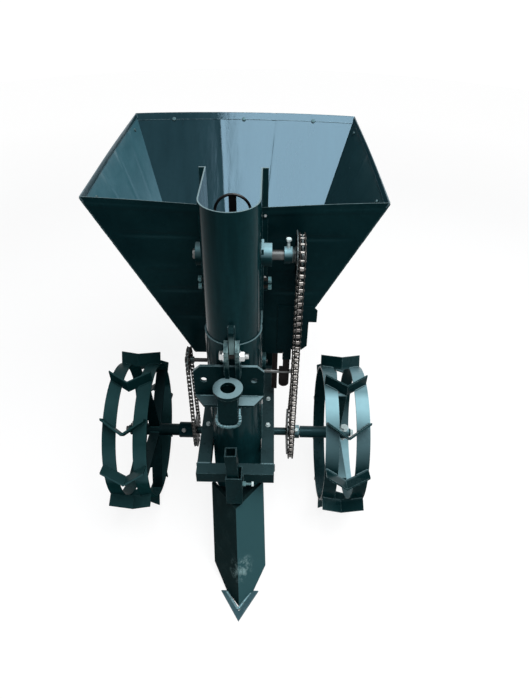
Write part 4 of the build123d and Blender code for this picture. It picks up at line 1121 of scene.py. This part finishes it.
def area_light(name, place, aim, width, height, power, colour):
    """Rectangular lamp at a place, turned to what it is aimed at."""
    data = bpy.data.lights.new(name, "AREA")
    data.shape = "RECTANGLE"
    data.size = width
    data.size_y = height
    data.energy = power
    data.color = colour
    made = add_object(name, data)
    made.location = place
    made.rotation_euler = (Vector(aim) - Vector(place)).to_track_quat("-Z", "Y").to_euler()


def floor_material():
    """Pale floor: plain grey to the light, and near white to the eye, with the object's shadow."""
    material = bpy.data.materials.new("floor_pale")
    material.use_nodes = True
    tree = material.node_tree
    plain = tree.nodes["Principled BSDF"]
    plain.inputs["Base Color"].default_value = (0.80, 0.80, 0.80, 1.0)
    plain.inputs["Roughness"].default_value = 0.9
    plain.inputs["Specular IOR Level"].default_value = 0.0
    far = distance(tree, node(tree, "ShaderNodeTexCoord").outputs["Object"], (0.0, 0.0, 0.0))
    shadow = node(tree, "ShaderNodeBsdfDiffuse", {"Color": (0.19, 0.19, 0.19, 1.0)})
    glow = node(tree, "ShaderNodeEmission", {"Strength": remap(tree, far, 1.0, 3.2, 0.875, 0.985)})
    seen = node(tree, "ShaderNodeAddShader", {0: shadow.outputs[0], 1: glow.outputs[0]})
    path = node(tree, "ShaderNodeLightPath").outputs
    eye = calc(tree, "ADD", path["Is Camera Ray"], path["Is Glossy Ray"])
    eye = calc(tree, "ADD", eye, path["Is Transmission Ray"])
    blend = node(tree, "ShaderNodeMixShader", {0: eye, 1: plain.outputs[0], 2: seen.outputs[0]})
    tree.links.new(blend.outputs[0], tree.nodes["Material Output"].inputs["Surface"])
    return material


def stage():
    """Round floor that sweeps up into a ring of backdrop."""
    flat, sweep, top = 4.5, 2.0, 6.0
    rows = [(0.0, 0.0), (flat, 0.0)]
    for n in range(1, 13):
        a = pi / 2 * n / 12
        rows.append((flat + sweep * sin(a), sweep - sweep * cos(a)))
    rows.append((flat + sweep, top))
    bm = bmesh.new()
    lathe(bm, (0, 0, 0), (0, 0, 1), rows, 64)
    floor = add_object("floor", smooth_mesh("floor", bm, [floor_material()]))


camera()
stage()
world = bpy.data.worlds.new("world")
bpy.context.scene.world = world
world.use_nodes = True
sky = world.node_tree.nodes["Background"].inputs
sky["Color"].default_value = (0.86, 0.93, 1.0, 1.0)
sky["Strength"].default_value = 0.30
area_light("sky_panel", (0.827, -0.65, 3.0), (0.827, -0.65, 0.0), 2.1, 2.3, 95.0, (0.98, 0.99, 1.0))
bpy.context.scene.view_settings.view_transform = "Standard"
